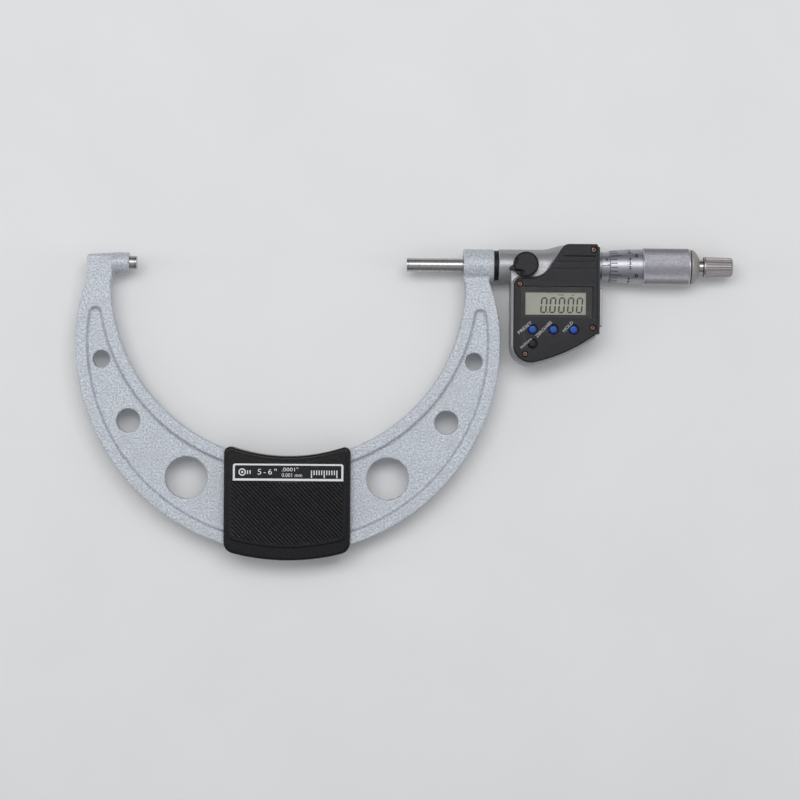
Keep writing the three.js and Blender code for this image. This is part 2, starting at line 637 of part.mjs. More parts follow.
function ratchetStop() {
  const shaft = turned([
    [257, 0],
    [257, 1.5],
    [264.4, 1.5],
    [264.4, RATCHET.neckR],
    [RATCHET.x0 - 0.2, RATCHET.neckR],
    [RATCHET.x0 - 0.2, 1.5],
    [281.4, 1.5],
    [281.4, 0],
  ]);
  const spannerHole = rod(0.6, 2, 5, { axis: "z", at: [269, 0, 0] }).rotate([-38, 0, 0]);
  place("ratchet_shaft", shaft.subtract(spannerHole), finishes.steel);

  const knob = turned([
    [RATCHET.x0, 1.65],
    [RATCHET.x0, RATCHET.r - 0.4],
    [RATCHET.x0 + 0.4, RATCHET.r],
    [RATCHET.x1 - 0.8, RATCHET.endR],
    [RATCHET.x1, RATCHET.endR - 0.8],
    [RATCHET.x1, 3.5],
    [272.4, 3.5],
    [272.4, 1.65],
    [RATCHET.x0, 1.65],
  ]);
  place("ratchet_knob", knob, finishes.satinChrome);
  let disc = ring(1.65, 3.4, 272.5, 273.9, { sides: 24 });
  for (let i = 0; i < 8; i += 1) {
    const tooth = block(273.5, 275, -0.3, 0.3, 1, 5).rotate([45 * i, 0, 0]);
    disc = disc.subtract(tooth);
  }
  place("ratchet_disc", disc, finishes.steel);
  const wire = new THREE.Shape(arc(0, 0, 0.3, 0, 300, 5).map(([x, y]) => new THREE.Vector2(x, y)));
  const coil = new THREE.ExtrudeGeometry(wire, {
    steps: 45,
    bevelEnabled: false,
    extrudePath: new Helix(2.5, 274.4, 280.6, 4.5),
  });
  place("ratchet_spring", solid(coil), finishes.steel);
  place("ratchet_end_plug", rod(3.45, 282, 283.6), finishes.satinChrome);
}

// Spindle clamp: a knob with a thumb lever, its shaft, and the pad it presses on the spindle.
function clamp() {
  const knobZ = { low: CASE.rimZ + 0.1, high: 12.4 };
  const knob = turned(
    [
      [knobZ.low, 0],
      [knobZ.low, 6],
      [knobZ.high - 0.8, 6],
      [knobZ.high, 5.4],
      [knobZ.high, 0],
    ],
    { axis: "z", at: [CLAMP_X, 0, 0] },
  );
  const leverAngle = 197.5;
  const tip = [CLAMP_X + 6.9 * Math.cos(radians(leverAngle)), 6.9 * Math.sin(radians(leverAngle))];
  const lever = [
    [CLAMP_X + 5 * Math.cos(radians(150)), 5 * Math.sin(radians(150))],
    ...arc(...tip, 1.1, 110, 280, 5),
    [CLAMP_X + 5 * Math.cos(radians(225)), 5 * Math.sin(radians(225))],
  ];
  const bore = post(CLAMP_X, 0, 1.55, 6, 10.6);
  const body = knob.add(prism(lever, knobZ.low + 1, knobZ.high - 0.3)).subtract(bore);
  place("clamp_lever", body, finishes.blackPlastic);
  place("clamp_shaft", post(CLAMP_X, 0, 1.5, 5.35, 10.5), finishes.steel);
  place("clamp_pad", post(CLAMP_X, 0, 1.25, 3.3, 5.25), finishes.brass);
}

bow();
anvil();
heatShields();
spindleGuide();
housing();
frontCover();
electronics();
encoderRotor();
batteryBay();
outputPort();
sleeves();
spindle();
thimble();
ratchetStop();
clamp();

export default micrometer;
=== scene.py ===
"""A digital outside micrometer, 5 to 6 inch, lying on its back on a pale floor.

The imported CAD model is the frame. Each piece here stands where its CAD node stands and rides on that
node's body. Lengths are in millimetres, and are turned into metres where an object is made.
"""
import json
import math

import bmesh
import bpy
from mathutils import Matrix, Vector
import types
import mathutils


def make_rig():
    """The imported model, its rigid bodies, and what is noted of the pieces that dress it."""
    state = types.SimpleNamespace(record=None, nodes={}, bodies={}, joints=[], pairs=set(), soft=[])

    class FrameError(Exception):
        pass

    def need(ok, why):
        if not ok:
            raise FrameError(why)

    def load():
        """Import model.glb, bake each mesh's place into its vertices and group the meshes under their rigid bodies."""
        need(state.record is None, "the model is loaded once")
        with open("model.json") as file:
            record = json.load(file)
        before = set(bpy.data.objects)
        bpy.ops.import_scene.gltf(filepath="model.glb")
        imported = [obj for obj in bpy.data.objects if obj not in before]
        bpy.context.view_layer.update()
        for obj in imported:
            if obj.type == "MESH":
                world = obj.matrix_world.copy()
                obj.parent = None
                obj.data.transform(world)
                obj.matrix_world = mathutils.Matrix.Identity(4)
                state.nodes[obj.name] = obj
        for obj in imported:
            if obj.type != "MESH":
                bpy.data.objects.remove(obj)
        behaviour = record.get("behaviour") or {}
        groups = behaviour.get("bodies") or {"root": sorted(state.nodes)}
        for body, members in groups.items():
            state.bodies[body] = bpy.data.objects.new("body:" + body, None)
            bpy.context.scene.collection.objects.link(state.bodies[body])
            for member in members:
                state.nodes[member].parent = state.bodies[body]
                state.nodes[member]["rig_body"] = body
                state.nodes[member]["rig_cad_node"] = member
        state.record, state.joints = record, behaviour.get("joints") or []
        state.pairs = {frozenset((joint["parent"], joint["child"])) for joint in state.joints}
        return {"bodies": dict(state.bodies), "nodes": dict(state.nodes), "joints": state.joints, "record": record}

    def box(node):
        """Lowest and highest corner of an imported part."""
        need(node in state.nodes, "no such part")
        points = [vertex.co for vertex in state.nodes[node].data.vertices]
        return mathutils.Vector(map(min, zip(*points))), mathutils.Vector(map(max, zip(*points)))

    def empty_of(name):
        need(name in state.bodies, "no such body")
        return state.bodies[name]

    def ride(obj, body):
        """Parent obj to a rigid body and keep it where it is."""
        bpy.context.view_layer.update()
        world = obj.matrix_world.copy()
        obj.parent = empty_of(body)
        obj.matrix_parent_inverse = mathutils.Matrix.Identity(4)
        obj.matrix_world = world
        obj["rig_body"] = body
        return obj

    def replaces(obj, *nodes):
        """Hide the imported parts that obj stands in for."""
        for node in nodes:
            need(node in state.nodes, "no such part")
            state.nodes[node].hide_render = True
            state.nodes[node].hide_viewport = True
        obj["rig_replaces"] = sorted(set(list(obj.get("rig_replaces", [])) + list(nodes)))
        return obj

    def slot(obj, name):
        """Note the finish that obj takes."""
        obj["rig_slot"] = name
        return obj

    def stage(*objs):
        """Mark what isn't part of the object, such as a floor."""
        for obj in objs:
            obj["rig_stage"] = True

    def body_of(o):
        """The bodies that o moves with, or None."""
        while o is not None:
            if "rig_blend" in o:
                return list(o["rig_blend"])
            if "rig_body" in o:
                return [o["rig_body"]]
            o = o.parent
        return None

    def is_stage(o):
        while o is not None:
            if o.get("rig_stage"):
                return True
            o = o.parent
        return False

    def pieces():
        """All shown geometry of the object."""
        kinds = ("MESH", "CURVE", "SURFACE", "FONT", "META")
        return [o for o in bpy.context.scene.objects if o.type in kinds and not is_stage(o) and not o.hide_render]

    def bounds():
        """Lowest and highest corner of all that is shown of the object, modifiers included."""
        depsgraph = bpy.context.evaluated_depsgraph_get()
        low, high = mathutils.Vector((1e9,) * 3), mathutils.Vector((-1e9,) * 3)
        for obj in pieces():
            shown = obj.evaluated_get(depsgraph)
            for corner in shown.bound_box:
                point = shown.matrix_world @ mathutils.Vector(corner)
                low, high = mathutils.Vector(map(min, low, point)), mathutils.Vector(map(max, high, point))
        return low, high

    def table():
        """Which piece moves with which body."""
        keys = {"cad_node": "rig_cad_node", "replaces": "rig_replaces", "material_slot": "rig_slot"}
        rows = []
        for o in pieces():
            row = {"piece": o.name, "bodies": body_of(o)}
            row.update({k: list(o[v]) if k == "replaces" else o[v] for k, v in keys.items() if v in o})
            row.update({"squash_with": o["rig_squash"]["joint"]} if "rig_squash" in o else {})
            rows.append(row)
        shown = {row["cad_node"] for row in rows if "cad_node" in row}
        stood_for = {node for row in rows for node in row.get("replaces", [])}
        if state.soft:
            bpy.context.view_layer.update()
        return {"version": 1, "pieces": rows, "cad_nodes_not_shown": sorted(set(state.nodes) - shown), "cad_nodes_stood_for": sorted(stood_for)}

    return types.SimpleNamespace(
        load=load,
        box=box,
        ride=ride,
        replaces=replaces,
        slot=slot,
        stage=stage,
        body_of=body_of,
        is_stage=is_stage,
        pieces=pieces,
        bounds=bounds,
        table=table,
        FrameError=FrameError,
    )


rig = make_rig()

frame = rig.load()
CAD_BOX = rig.bounds()
BODY_OF = {
    node: body
    for body, nodes in frame["record"]["behaviour"]["bodies"].items()
    for node in nodes
}
SLOT_OF = {part["node"]: part["material_slot"] for part in frame["record"]["subparts"]}
MM = 0.001
CAPITAL = 0.729  # height of a capital in the built-in font, as a share of the font's size

# ---- Driving dimensions, mm -------------------------------------------------------------------

FACE_R = 3.175  # anvil and spindle
BOW_X = 72.3  # the bow is symmetric about this plane
BOW_HALF = 5.2
OUTER_ARC = (-37.05, 101.15)  # height of the centre, radius
INNER_ARC = (-9.25, 84.15)
ARM_DX = 21.15  # above the outer arc's centre each arm's outer edge has its own centre
ARM_END, ARM_INNER = 95.5, 83.6
CAST_DRAFT = 0.35  # how far the cast sides lean in from the middle plane to a face
RIM_OUTER, RIM_INNER = 5.9, 5.8
RIM_SLOPE = 0.55  # half the width of the sloped wall between a rim and the web
WEB_HALF = 3.4
RIM_END_Y = -24.2
WEB_HOLES = [(47.8, -102.1, 10.0), (75.6, -75.2, 5.6), (88.5, -46.1, 4.1)]
ANVIL_BOSS = (-3.5, 4.85)  # end, radius
SPINDLE_BOSS = (155.5, 170.0, 7.7)
BUSH_R = 5.2

REST_Z, FRONT_Z = -10.0, 10.0
SHIELD_X, SHIELD_HALF = 72.6, 30.0
SHIELD_SCREWS = [(BOW_X - 20, -117.0), (BOW_X + 20, -117.0)]
LABEL_X0, LABEL_X1, LABEL_LOW, LABEL_HIGH = 47.0, 99.2, -103.2, -95.15
GRIP_MIDDLE = (BOW_X, -119)
GRIP_PITCH, GRIP_WIDTH = 1.42, 0.6
GRIP_REACH, GRIP_SPREAD = 60, 44  # half a groove's length, half the width the grooves cover

CASE_X0, CASE_X1, CASE_R = 177.9, 220.0, 9.95
NOSE_X, NOSE_R = 172.2, 7.7
FLARE_X, FLARE_LENGTH = 193, 11  # where the tube widens from the nose to the case
CHAMBER_X0, CHAMBER_X1, CHAMBER_R = 198.5, 214, 8.4  # the encoder's room
PORT_SCREW_INSET = 2
RIM_Z = 8.2  # the cover's seat
LIP_Z = 9.3  # top of the case's lip round the cover
COVER_X0, COVER_X1 = 179.1, 219.0
COVER_BACK_Z = 8.6
CORNER = (187.4, -38.0, 8.3)  # rounded lower left corner of the cover
SWEEP_R = 77.0  # the cover's long lower edge
CASE_RIM = 1.2
COVER_SCREWS = [(217.0, 7.2), (182.0, -9.1), (184.6, -42.3), (216.6, -29.7)]
GROOVES = [(4.75, 0.8, 202.6), (1.95, 1.15, 199.8), (-1.45, 1.25, 196.0)]  # top, width, start
WINDOW = (182.3, 216.8, -25.2, -10.1)
LCD_VIEW = (184.75, 213.5, -23.65, -13.0)
BUTTONS = ("preset_button", "zero_button", "hold_button", "unit_button")
LEGENDS = [  # button, words, height, and the start and end of their middle line from the button
    ("preset_button", "PRESET", 1.5, (-6.8, -1.75), (-0.6, 3.45)),
    ("zero_button", "ZERO/ABS", 1.5, (-8.2, -3.4), (-1.1, 3.7)),
    ("hold_button", "HOLD", 1.5, (-4.9, -0.7), (-0.6, 3.7)),
    ("unit_button", "in/mm", 1.4, (-5.7, -1.8), (-0.6, 2.5)),
]
BUTTON_R = 1.8
CLAMP_X, CLAMP_R, CLAMP_TOP, SCOOP_FLOOR = 184.8, 6.0, 12.4, 10.9
CLAMP_RIB = [  # the clamp's thumb rib, from the knob's middle out to its rounded end
    (-1.2, 2.6), (-4.4, 1.35), (-6.6, -0.55), (-7.45, -1.15), (-7.9, -1.9), (-7.7, -2.6),
    (-7.0, -2.95), (-5.9, -2.75), (-4.3, -2.25), (-2.4, -2.45), (-0.6, -3.1), (1.5, 0.0),
]
CLAMP_SCOOPS = [  # floor and rim of the hollows below and above the rib
    (
        [(-7.4, -3.6), (-5.8, -3.3), (-4.4, -2.9), (-3.3, -3), (-3, -3.6), (-3.2, -4.6), (-4.6, -6)],
        [(-7.9, -3.1), (-5.9, -2.8), (-4.3, -2.3), (-2.4, -2.5), (-0.4, -3.2), (-0.6, -5.2), (-3.4, -7.4)],
    ),
    (
        [(-8.5, -0.4), (-6.6, 0.0), (-5.4, 0.6), (-4.9, 1.5), (-4.8, 2.6), (-6.2, 3.6), (-8.4, 2.6)],
        [(-8.6, -0.9), (-6.2, -0.5), (-4.3, 0.1), (-3.6, 1.4), (-3.4, 2.6), (-5.4, 4.2), (-8.6, 3.0)],
    ),
]
INDEX_ANGLE = 1.0  # the sleeve's index line, from straight up towards +Y
THIMBLE_X0, THIMBLE_BORE = 225.1, 6.85
CONE_R0, CONE_R1, CONE_LENGTH = 7.5, 8.12, 8.5  # the thimble's bevelled front
SLEEVE_BORE = 5.95
SLEEVE_PITCH = 0.635  # distance between two marks of the sleeve, a fortieth of an inch
SLEEVE_LINE, THIMBLE_LINE = 0.26, 0.36  # widths of the marks
SUNK, PROUD = 0.03, 0.012  # the ink's depth under the metal and height over it
READING = 12.5  # thimble division at the index line
DIVISIONS = 25
KNURL_X, KNURL_DEPTH, KNURL_COLUMNS = 240.9, 0.3, 124
FLOOR_HALF = 1600
CAMERA_AT, CAMERA_LENS = (114.374, -73.160, 1140), 107.597
CAMERA_TURNS = [("X", 0.43499), ("Y", -0.57390), ("Z", 0.43224)]


def span(node):
    """Lowest and highest corner of a CAD node, in millimetres."""
    low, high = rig.box(node)
    return low / MM, high / MM


def middle(node):
    low, high = span(node)
    return (low + high) / 2


# ---- Materials ----------------------------------------------------------------------------------


def rgb(red, green, blue):
    """An sRGB colour, 0 to 255, as linear RGBA."""

    def linear(value):
        value /= 255
        return value / 12.92 if value <= 0.04045 else ((value + 0.055) / 1.055) ** 2.4

    return (linear(red), linear(green), linear(blue), 1.0)


class Surface:
    """One node material. Its textures are measured in millimetres on the object itself."""

    def __init__(self, name, color, roughness, metallic=0.0, **inputs):
        self.material = bpy.data.materials.new(name)
        self.material.use_nodes = True
        self.tree = self.material.node_tree
        self.shader = self.tree.nodes["Principled BSDF"]
        self.shader.inputs["Base Color"].default_value = color
        self.shader.inputs["Roughness"].default_value = roughness
        self.shader.inputs["Metallic"].default_value = metallic
        for key, value in inputs.items():
            self.shader.inputs[key.replace("_", " ")].default_value = value
        self.coordinates = self.node("ShaderNodeTexCoord").outputs["Object"]
        self.color = color
        self.normal = None

    def node(self, kind, **settings):
        made = self.tree.nodes.new(kind)
        for key, value in settings.items():
            setattr(made, key, value)
        return made

    def connect(self, value, socket):
        if isinstance(value, bpy.types.NodeSocket):
            self.tree.links.new(value, socket)
        else:
            socket.default_value = value

    def noise(self, size, detail=2.0, stretch=(1, 1, 1)):
        """Noise whose blobs are about this size, stretched along each axis."""
        mapping = self.node("ShaderNodeMapping")
        mapping.inputs["Scale"].default_value = [1 / (size * s * MM) for s in stretch]
        self.connect(self.coordinates, mapping.inputs["Vector"])
        noise = self.node("ShaderNodeTexNoise")
        noise.inputs["Scale"].default_value = 1.0
        noise.inputs["Detail"].default_value = detail
        self.connect(mapping.outputs["Vector"], noise.inputs["Vector"])
        return noise.outputs["Fac"]

    def cells(self, size):
        """Rounded cells of about this size, 0 in their middles."""
        mapping = self.node("ShaderNodeMapping")
        mapping.inputs["Scale"].default_value = [1 / (size * MM)] * 3
        self.connect(self.coordinates, mapping.inputs["Vector"])
        cells = self.node("ShaderNodeTexVoronoi", feature="SMOOTH_F1")
        cells.inputs["Scale"].default_value = 1.0
        cells.inputs["Smoothness"].default_value = 0.3
        self.connect(mapping.outputs["Vector"], cells.inputs["Vector"])
        return cells.outputs["Distance"]

    def remap(self, value, low, high, to_low=0.0, to_high=1.0):
        spread = self.node("ShaderNodeMapRange")
        self.connect(value, spread.inputs["Value"])
        limits = {"From Min": low, "From Max": high, "To Min": to_low, "To Max": to_high}
        for key, number in limits.items():
            spread.inputs[key].default_value = number
        return spread.outputs["Result"]

    def tint(self, factor, other):
        """Turns the colour towards another by a factor."""
        mix = self.node("ShaderNodeMix", data_type="RGBA")
        self.connect(factor, mix.inputs["Factor"])
        self.connect(self.color, mix.inputs[6])
        self.connect(other, mix.inputs[7])
        self.color = mix.outputs[2]
        self.connect(self.color, self.shader.inputs["Base Color"])
        return self

    def mottle(self, size, other, low=0.4, high=0.6, detail=2.0, stretch=(1, 1, 1)):
        return self.tint(self.remap(self.noise(size, detail, stretch), low, high), other)

    def edges(self, other, low=0.52, high=0.6):
        """Lighter convex edges, where the surface is pointed: partly wear, partly a painted highlight."""
        pointiness = self.node("ShaderNodeNewGeometry").outputs["Pointiness"]
        return self.tint(self.remap(pointiness, low, high), other)

    def rough(self, size, low, high, detail=2.0, stretch=(1, 1, 1)):
        value = self.remap(self.noise(size, detail, stretch), 0.3, 0.7, low, high)
        self.connect(value, self.shader.inputs["Roughness"])
        return self

    def bump(self, height, depth, strength=1.0):
        """Adds a relief of this depth in millimetres."""
        bump = self.node("ShaderNodeBump")
        bump.inputs["Strength"].default_value = strength
        bump.inputs["Distance"].default_value = depth * MM
        self.connect(height, bump.inputs["Height"])
        if self.normal:
            self.connect(self.normal, bump.inputs["Normal"])
        self.normal = bump.outputs["Normal"]
        self.connect(self.normal, self.shader.inputs["Normal"])
        return self

    def grain(self, size, detail, depth, strength, stretch=(1, 1, 1)):
        """Adds a relief of noise."""
        return self.bump(self.noise(size, detail, stretch), depth, strength)


def hammer_paint():
    """Grey hammer finish: pits and veins of about a millimetre, glossy between them, the veins tinted lighter, partly
    as the paint's own tone and partly as a painted highlight on their relief.
    """
    paint = Surface("hammer_paint", rgb(174, 180, 189), 0.38, 0.15)
    veins = paint.noise(0.85, 2)
    # painted highlight: the raised veins are tinted lighter, partly the paint's own tone and partly standing in for
    # their glints
    paint.tint(paint.remap(veins, 0.38, 0.62), rgb(216, 221, 228))
    paint.mottle(6.0, rgb(188, 192, 199), 0.45, 0.9, detail=3)
    # lighter convex edges: partly wear, partly a painted highlight
    paint.edges(rgb(226, 228, 231), 0.53, 0.6)
    paint.rough(1.2, 0.32, 0.46)
    paint.bump(veins, 0.5, 0.7)
    paint.bump(paint.cells(1.5), 0.16, 0.5)
    paint.grain(0.3, 2, 0.05, 0.4)
    return paint.material


def turned_metal(name, color, roughness, line=0.12, depth=0.006):
    """Metal with fine rings round the X axis, as a lathe or a grinder leaves."""
    metal = Surface(name, rgb(*color), roughness, 1.0)
    rings = (1, 60, 60)
    darker = rgb(*[int(v * 0.93) for v in color])
    metal.mottle(line, darker, 0.35, 0.75, stretch=rings)
    metal.mottle(2.0, darker, 0.45, 0.8, detail=3)
    metal.rough(line * 2, roughness - 0.04, roughness + 0.06, stretch=rings)
    metal.grain(line, 2, depth, 0.3, rings)
    return metal.material


def satin_metal(name, color, roughness):
    """Blasted or plated metal without a direction."""
    metal = Surface(name, rgb(*color), roughness, 1.0)
    metal.mottle(0.9, rgb(*[int(v * 0.93) for v in color]), 0.35, 0.7, detail=4)
    # lighter convex edges: partly wear, partly a painted highlight
    metal.edges(rgb(*[min(255, int(v * 1.1)) for v in color]), 0.53, 0.62)
    metal.rough(0.5, roughness - 0.06, roughness + 0.06)
    metal.grain(0.14, 2, 0.008, 0.4)
    return metal.material


def plastic(name, color, lighter, roughness, grain, depth, specular=0.5):
    """Moulded plastic with a spark-eroded grain, and edges painted lighter: partly rubbed wear, partly a painted
    highlight.
    """
    made = Surface(name, rgb(*color), roughness, IOR=1.5)
    made.shader.inputs["Specular IOR Level"].default_value = specular
    made.mottle(3.0, rgb(*[min(255, int(v * 1.15) + 1) for v in color]), 0.3, 0.7, detail=4)
    # lighter convex edges: partly rubbed wear, partly a painted highlight
    made.edges(rgb(*lighter), 0.53, 0.62)
    made.rough(grain * 4, roughness - 0.06, roughness + 0.08)
    made.grain(grain, 3, depth, 0.5)
    return made.material


def ink(name, color, roughness=0.5):
    """Printed or filled markings: a thin, slightly uneven film."""
    made = Surface(name, rgb(*color), roughness)
    made.mottle(0.3, rgb(*[int(v * 0.9) for v in color]), 0.4, 0.62, detail=4)
    made.rough(0.25, roughness - 0.1, roughness + 0.12)
    made.grain(0.12, 2, 0.004, 0.4)
    return made.material


FINISH = {
    "hammer_paint": hammer_paint(),
    # Bare die-cast metal under a thin clear coat.
    "cast_case": Surface("cast_case", rgb(160, 160, 163), 0.4, 0.55)
        .mottle(0.7, rgb(172, 172, 175), 0.35, 0.65, detail=4)
        # lighter convex edges: partly wear, partly a painted highlight
        .edges(rgb(222, 222, 224), 0.52, 0.58)
        .rough(0.8, 0.34, 0.48)
        .grain(0.4, 3, 0.05, 0.4)
        .material,
    "ground_steel": turned_metal("ground_steel", (184, 182, 182), 0.27),
    "satin_chrome": turned_metal("satin_chrome", (176, 177, 183), 0.4, 0.1, 0.005),
    "brass": turned_metal("brass", (196, 164, 92), 0.28),
    # Lapped carbide of a measuring face.
    "carbide": Surface("carbide", rgb(176, 177, 180), 0.22, 1.0)
        .mottle(0.12, rgb(158, 160, 164), 0.4, 0.6)
        .rough(0.3, 0.16, 0.28)
        .grain(0.08, 2, 0.003, 0.4)
        .material,
    "shield_plastic": plastic("shield_plastic", (6, 6, 9), (24, 25, 29), 0.3, 0.3, 0.006, 0.3),
    "cover_plastic": plastic("cover_plastic", (18, 18, 23), (46, 46, 52), 0.46, 0.22, 0.012, 0.35),
    "button_black": plastic("button_black", (14, 14, 16), (36, 36, 39), 0.42, 0.2, 0.006, 0.3),
    "button_blue": plastic("button_blue", (8, 66, 150), (34, 98, 184), 0.34, 0.25, 0.004, 0.4),
    "seal_rubber": plastic("seal_rubber", (7, 7, 8), (22, 22, 24), 0.5, 0.3, 0.02, 0.35),
    "label_print": plastic("label_print", (5, 5, 7), (20, 20, 23), 0.3, 0.2, 0.003, 0.3),
    # Dark plated steel with a reddish sheen on its edges.
    "screw_steel": Surface("screw_steel", rgb(88, 68, 62), 0.36, 1.0)
        .mottle(0.5, rgb(64, 50, 46), 0.4, 0.6, detail=3)
        # lighter reddish edges: a painted sheen, partly wear
        .edges(rgb(158, 128, 116), 0.52, 0.6)
        .rough(0.3, 0.26, 0.46)
        .grain(0.15, 2, 0.004, 0.4)
        .material,
    # Stove enamel of the end cap.
    "cream_paint": Surface("cream_paint", rgb(163, 160, 156), 0.42, 0.15)
        .mottle(1.1, rgb(150, 146, 142), 0.35, 0.65, detail=4)
        # lighter convex edges: partly wear, partly a painted highlight
        .edges(rgb(196, 193, 189), 0.52, 0.6)
        .rough(0.7, 0.34, 0.5)
        .grain(0.35, 3, 0.02, 0.4)
        .material,
    # The window's clear sheet: almost no colour of its own, a gloss with faint smears.
    "window_glass": Surface("window_glass", rgb(70, 72, 70), 0.06, Alpha=0.1)
        .mottle(5.0, rgb(110, 112, 110), 0.4, 0.8, detail=4)
        .rough(4.0, 0.03, 0.12, detail=4)
        .grain(6.0, 2, 0.003, 0.2)
        .material,
    # The display's grey-green panel with its fine weave.
    "lcd_glass": Surface("lcd_glass", rgb(199, 200, 183), 0.3, Coat_Weight=0.5, Coat_Roughness=0.08)
        .mottle(8.0, rgb(190, 191, 174), 0.35, 0.65, detail=1)
        .mottle(0.16, rgb(192, 193, 176), 0.45, 0.6, stretch=(1, 1, 4))
        .grain(0.2, 2, 0.002, 0.3)
        .material,
    # Green circuit board with the shadow of its tracks.
    "board": Surface("board", rgb(31, 92, 56), 0.4, Coat_Weight=0.5, Coat_Roughness=0.2)
        .mottle(1.4, rgb(22, 74, 44), 0.48, 0.52, detail=1, stretch=(4, 1, 1))
        .grain(0.8, 3, 0.02, 0.4)
        .material,
}
KNURL = satin_metal("knurl_chrome", (203, 202, 208), 0.38)
WARM_SATIN = satin_metal("warm_satin", (178, 172, 172), 0.46)
WHITE_INK = ink("white_ink", (244, 244, 246))
GREY_INK = ink("grey_ink", (200, 201, 203))
SCALE_INK = ink("scale_ink", (18, 18, 20))
LCD_INK = ink("lcd_ink", (62, 64, 57), 0.4)
MASK_INK = ink("mask_ink", (22, 19, 19), 0.35)

# ---- Meshes ---------------------------------------------------------------------------------------


def add(name, data):
    """A new object in the scene."""
    obj = bpy.data.objects.new(name, data)
    bpy.context.scene.collection.objects.link(obj)
    return obj


def make(name, points, faces):
    """A mesh object from points in millimetres."""
    mesh = bpy.data.meshes.new(name)
    mesh.from_pydata([Vector(p) * MM for p in points], [], faces)
    work = bmesh.new()
    work.from_mesh(mesh)
    bmesh.ops.remove_doubles(work, verts=work.verts, dist=1e-8)
    bmesh.ops.recalc_face_normals(work, faces=work.faces)
    work.to_mesh(mesh)
    work.free()
    return add(name, mesh)


def settle(obj):
    """Turns the object's modifiers into its mesh."""
    graph = bpy.context.evaluated_depsgraph_get()
    mesh = bpy.data.meshes.new_from_object(obj.evaluated_get(graph))
    obj.modifiers.clear()
    obj.data = mesh
    return obj


def merge_flat_faces(mesh):
    """Joins triangles that lie in one plane, so that light runs evenly over flat faces."""
    work = bmesh.new()
    work.from_mesh(mesh)
    limit = math.radians(0.05)
    bmesh.ops.dissolve_limit(work, angle_limit=limit, verts=work.verts, edges=work.edges)
    work.to_mesh(mesh)
    work.free()


def dress(obj, node, material=None, stands_for=True, sharp=35, flat=True):
    """Gives a piece its finish, and puts it in place of its CAD node on that node's body."""
    slot = SLOT_OF[node]
    obj.data.materials.clear()
    obj.data.materials.append(material or FINISH[slot])
    obj.data.shade_smooth()
    if flat:
        merge_flat_faces(obj.data)
    obj.data.set_sharp_from_angle(angle=math.radians(sharp))
    if flat:
        weighted = obj.modifiers.new("flat_faces", "WEIGHTED_NORMAL")
        weighted.keep_sharp = True
    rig.slot(obj, slot)
    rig.ride(obj, BODY_OF[node])
    if stands_for:
        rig.replaces(obj, node)
    return obj


def print_on(obj, node, ink_material):
    """Markings that lie on a node's piece and don't stand for it."""
    dress(obj, node, material=ink_material, stands_for=False, flat=False)


def combine(base, others, operation):
    """A boolean of the base with the others taken together. The others are used up."""
    tool = others[0]
    for other in others[1:]:
        joined = bmesh.new()
        joined.from_mesh(tool.data)
        joined.from_mesh(other.data)
        joined.to_mesh(tool.data)
        joined.free()
        bpy.data.objects.remove(other)
    boolean = base.modifiers.new("boolean", "BOOLEAN")
    boolean.object = tool
    boolean.operation = operation
    boolean.solver = "MANIFOLD"
    settle(base)
    bpy.data.objects.remove(tool)
    return base


def cut(base, *others):
    return combine(base, list(others), "DIFFERENCE")


def unite(base, *others):
    return combine(base, list(others), "UNION")


def bevel(obj, width, segments=3):
    modifier = obj.modifiers.new("bevel", "BEVEL")
    modifier.width = width * MM
    modifier.segments = segments
    modifier.limit_method = "ANGLE"
    modifier.angle_limit = math.radians(30)
    modifier.use_clamp_overlap = True
    return settle(obj)


def soften(obj, voxel, rounds):
    """Rounds every edge and corner as a casting has them."""
    remesh = obj.modifiers.new("remesh", "REMESH")
    remesh.mode = "VOXEL"
    remesh.voxel_size = voxel * MM
    smooth = obj.modifiers.new("smooth", "SMOOTH")
    smooth.factor = 0.5
    smooth.iterations = rounds
    return settle(obj)


def turn(obj, axis, angle, about=(0, 0, 0)):
    """Turns a mesh about an axis through a point."""
    centre = Matrix.Translation(Vector(about) * MM)
    obj.data.transform(centre @ Matrix.Rotation(math.radians(angle), 4, axis) @ centre.inverted())
    return obj


def arc(x, y, r, start, end, steps):
    """Points on an arc, from one angle to another in degrees."""
    angles = [math.radians(start + (end - start) * i / steps) for i in range(steps + 1)]
    return [(x + r * math.cos(a), y + r * math.sin(a)) for a in angles]


def rounded(x0, x1, y0, y1, low, high=None):
    """A rectangle with rounded lower and upper corners."""
    high = low if high is None else high
    return [
        *arc(x0 + low, y0 + low, low, 180, 270, 6),
        *arc(x1 - low, y0 + low, low, 270, 360, 6),
        *arc(x1 - high, y1 - high, high, 0, 90, 6),
        *arc(x0 + high, y1 - high, high, 90, 180, 6),
    ]


def grown(outline, distance):
    """A closed outline moved outwards by a distance, or by a function of the point."""
    count = len(outline)
    points = [Vector(p) for p in outline]
    area = sum(points[i - 1].cross(points[i]) for i in range(count))
    side = 1 if area > 0 else -1
    moved = []
    for i, point in enumerate(points):
        before = (point - points[i - 1]).normalized()
        after = (points[(i + 1) % count] - point).normalized()
        first = Vector((before.y, -before.x)) * side
        second = Vector((after.y, -after.x)) * side
        middle_normal = (first + second).normalized()
        width = distance(point) if callable(distance) else distance
        reach = width / max(0.5, middle_normal.dot(first))
        moved.append(tuple(point + middle_normal * reach))
    return moved


def distinct(outline, least=0.02):
    """The outline without points that repeat the one before."""
    kept = []
    for point in outline:
        if not kept or math.dist(point, kept[-1]) > least:
            kept.append(point)
    if math.dist(kept[0], kept[-1]) <= least:
        kept.pop()
    return kept


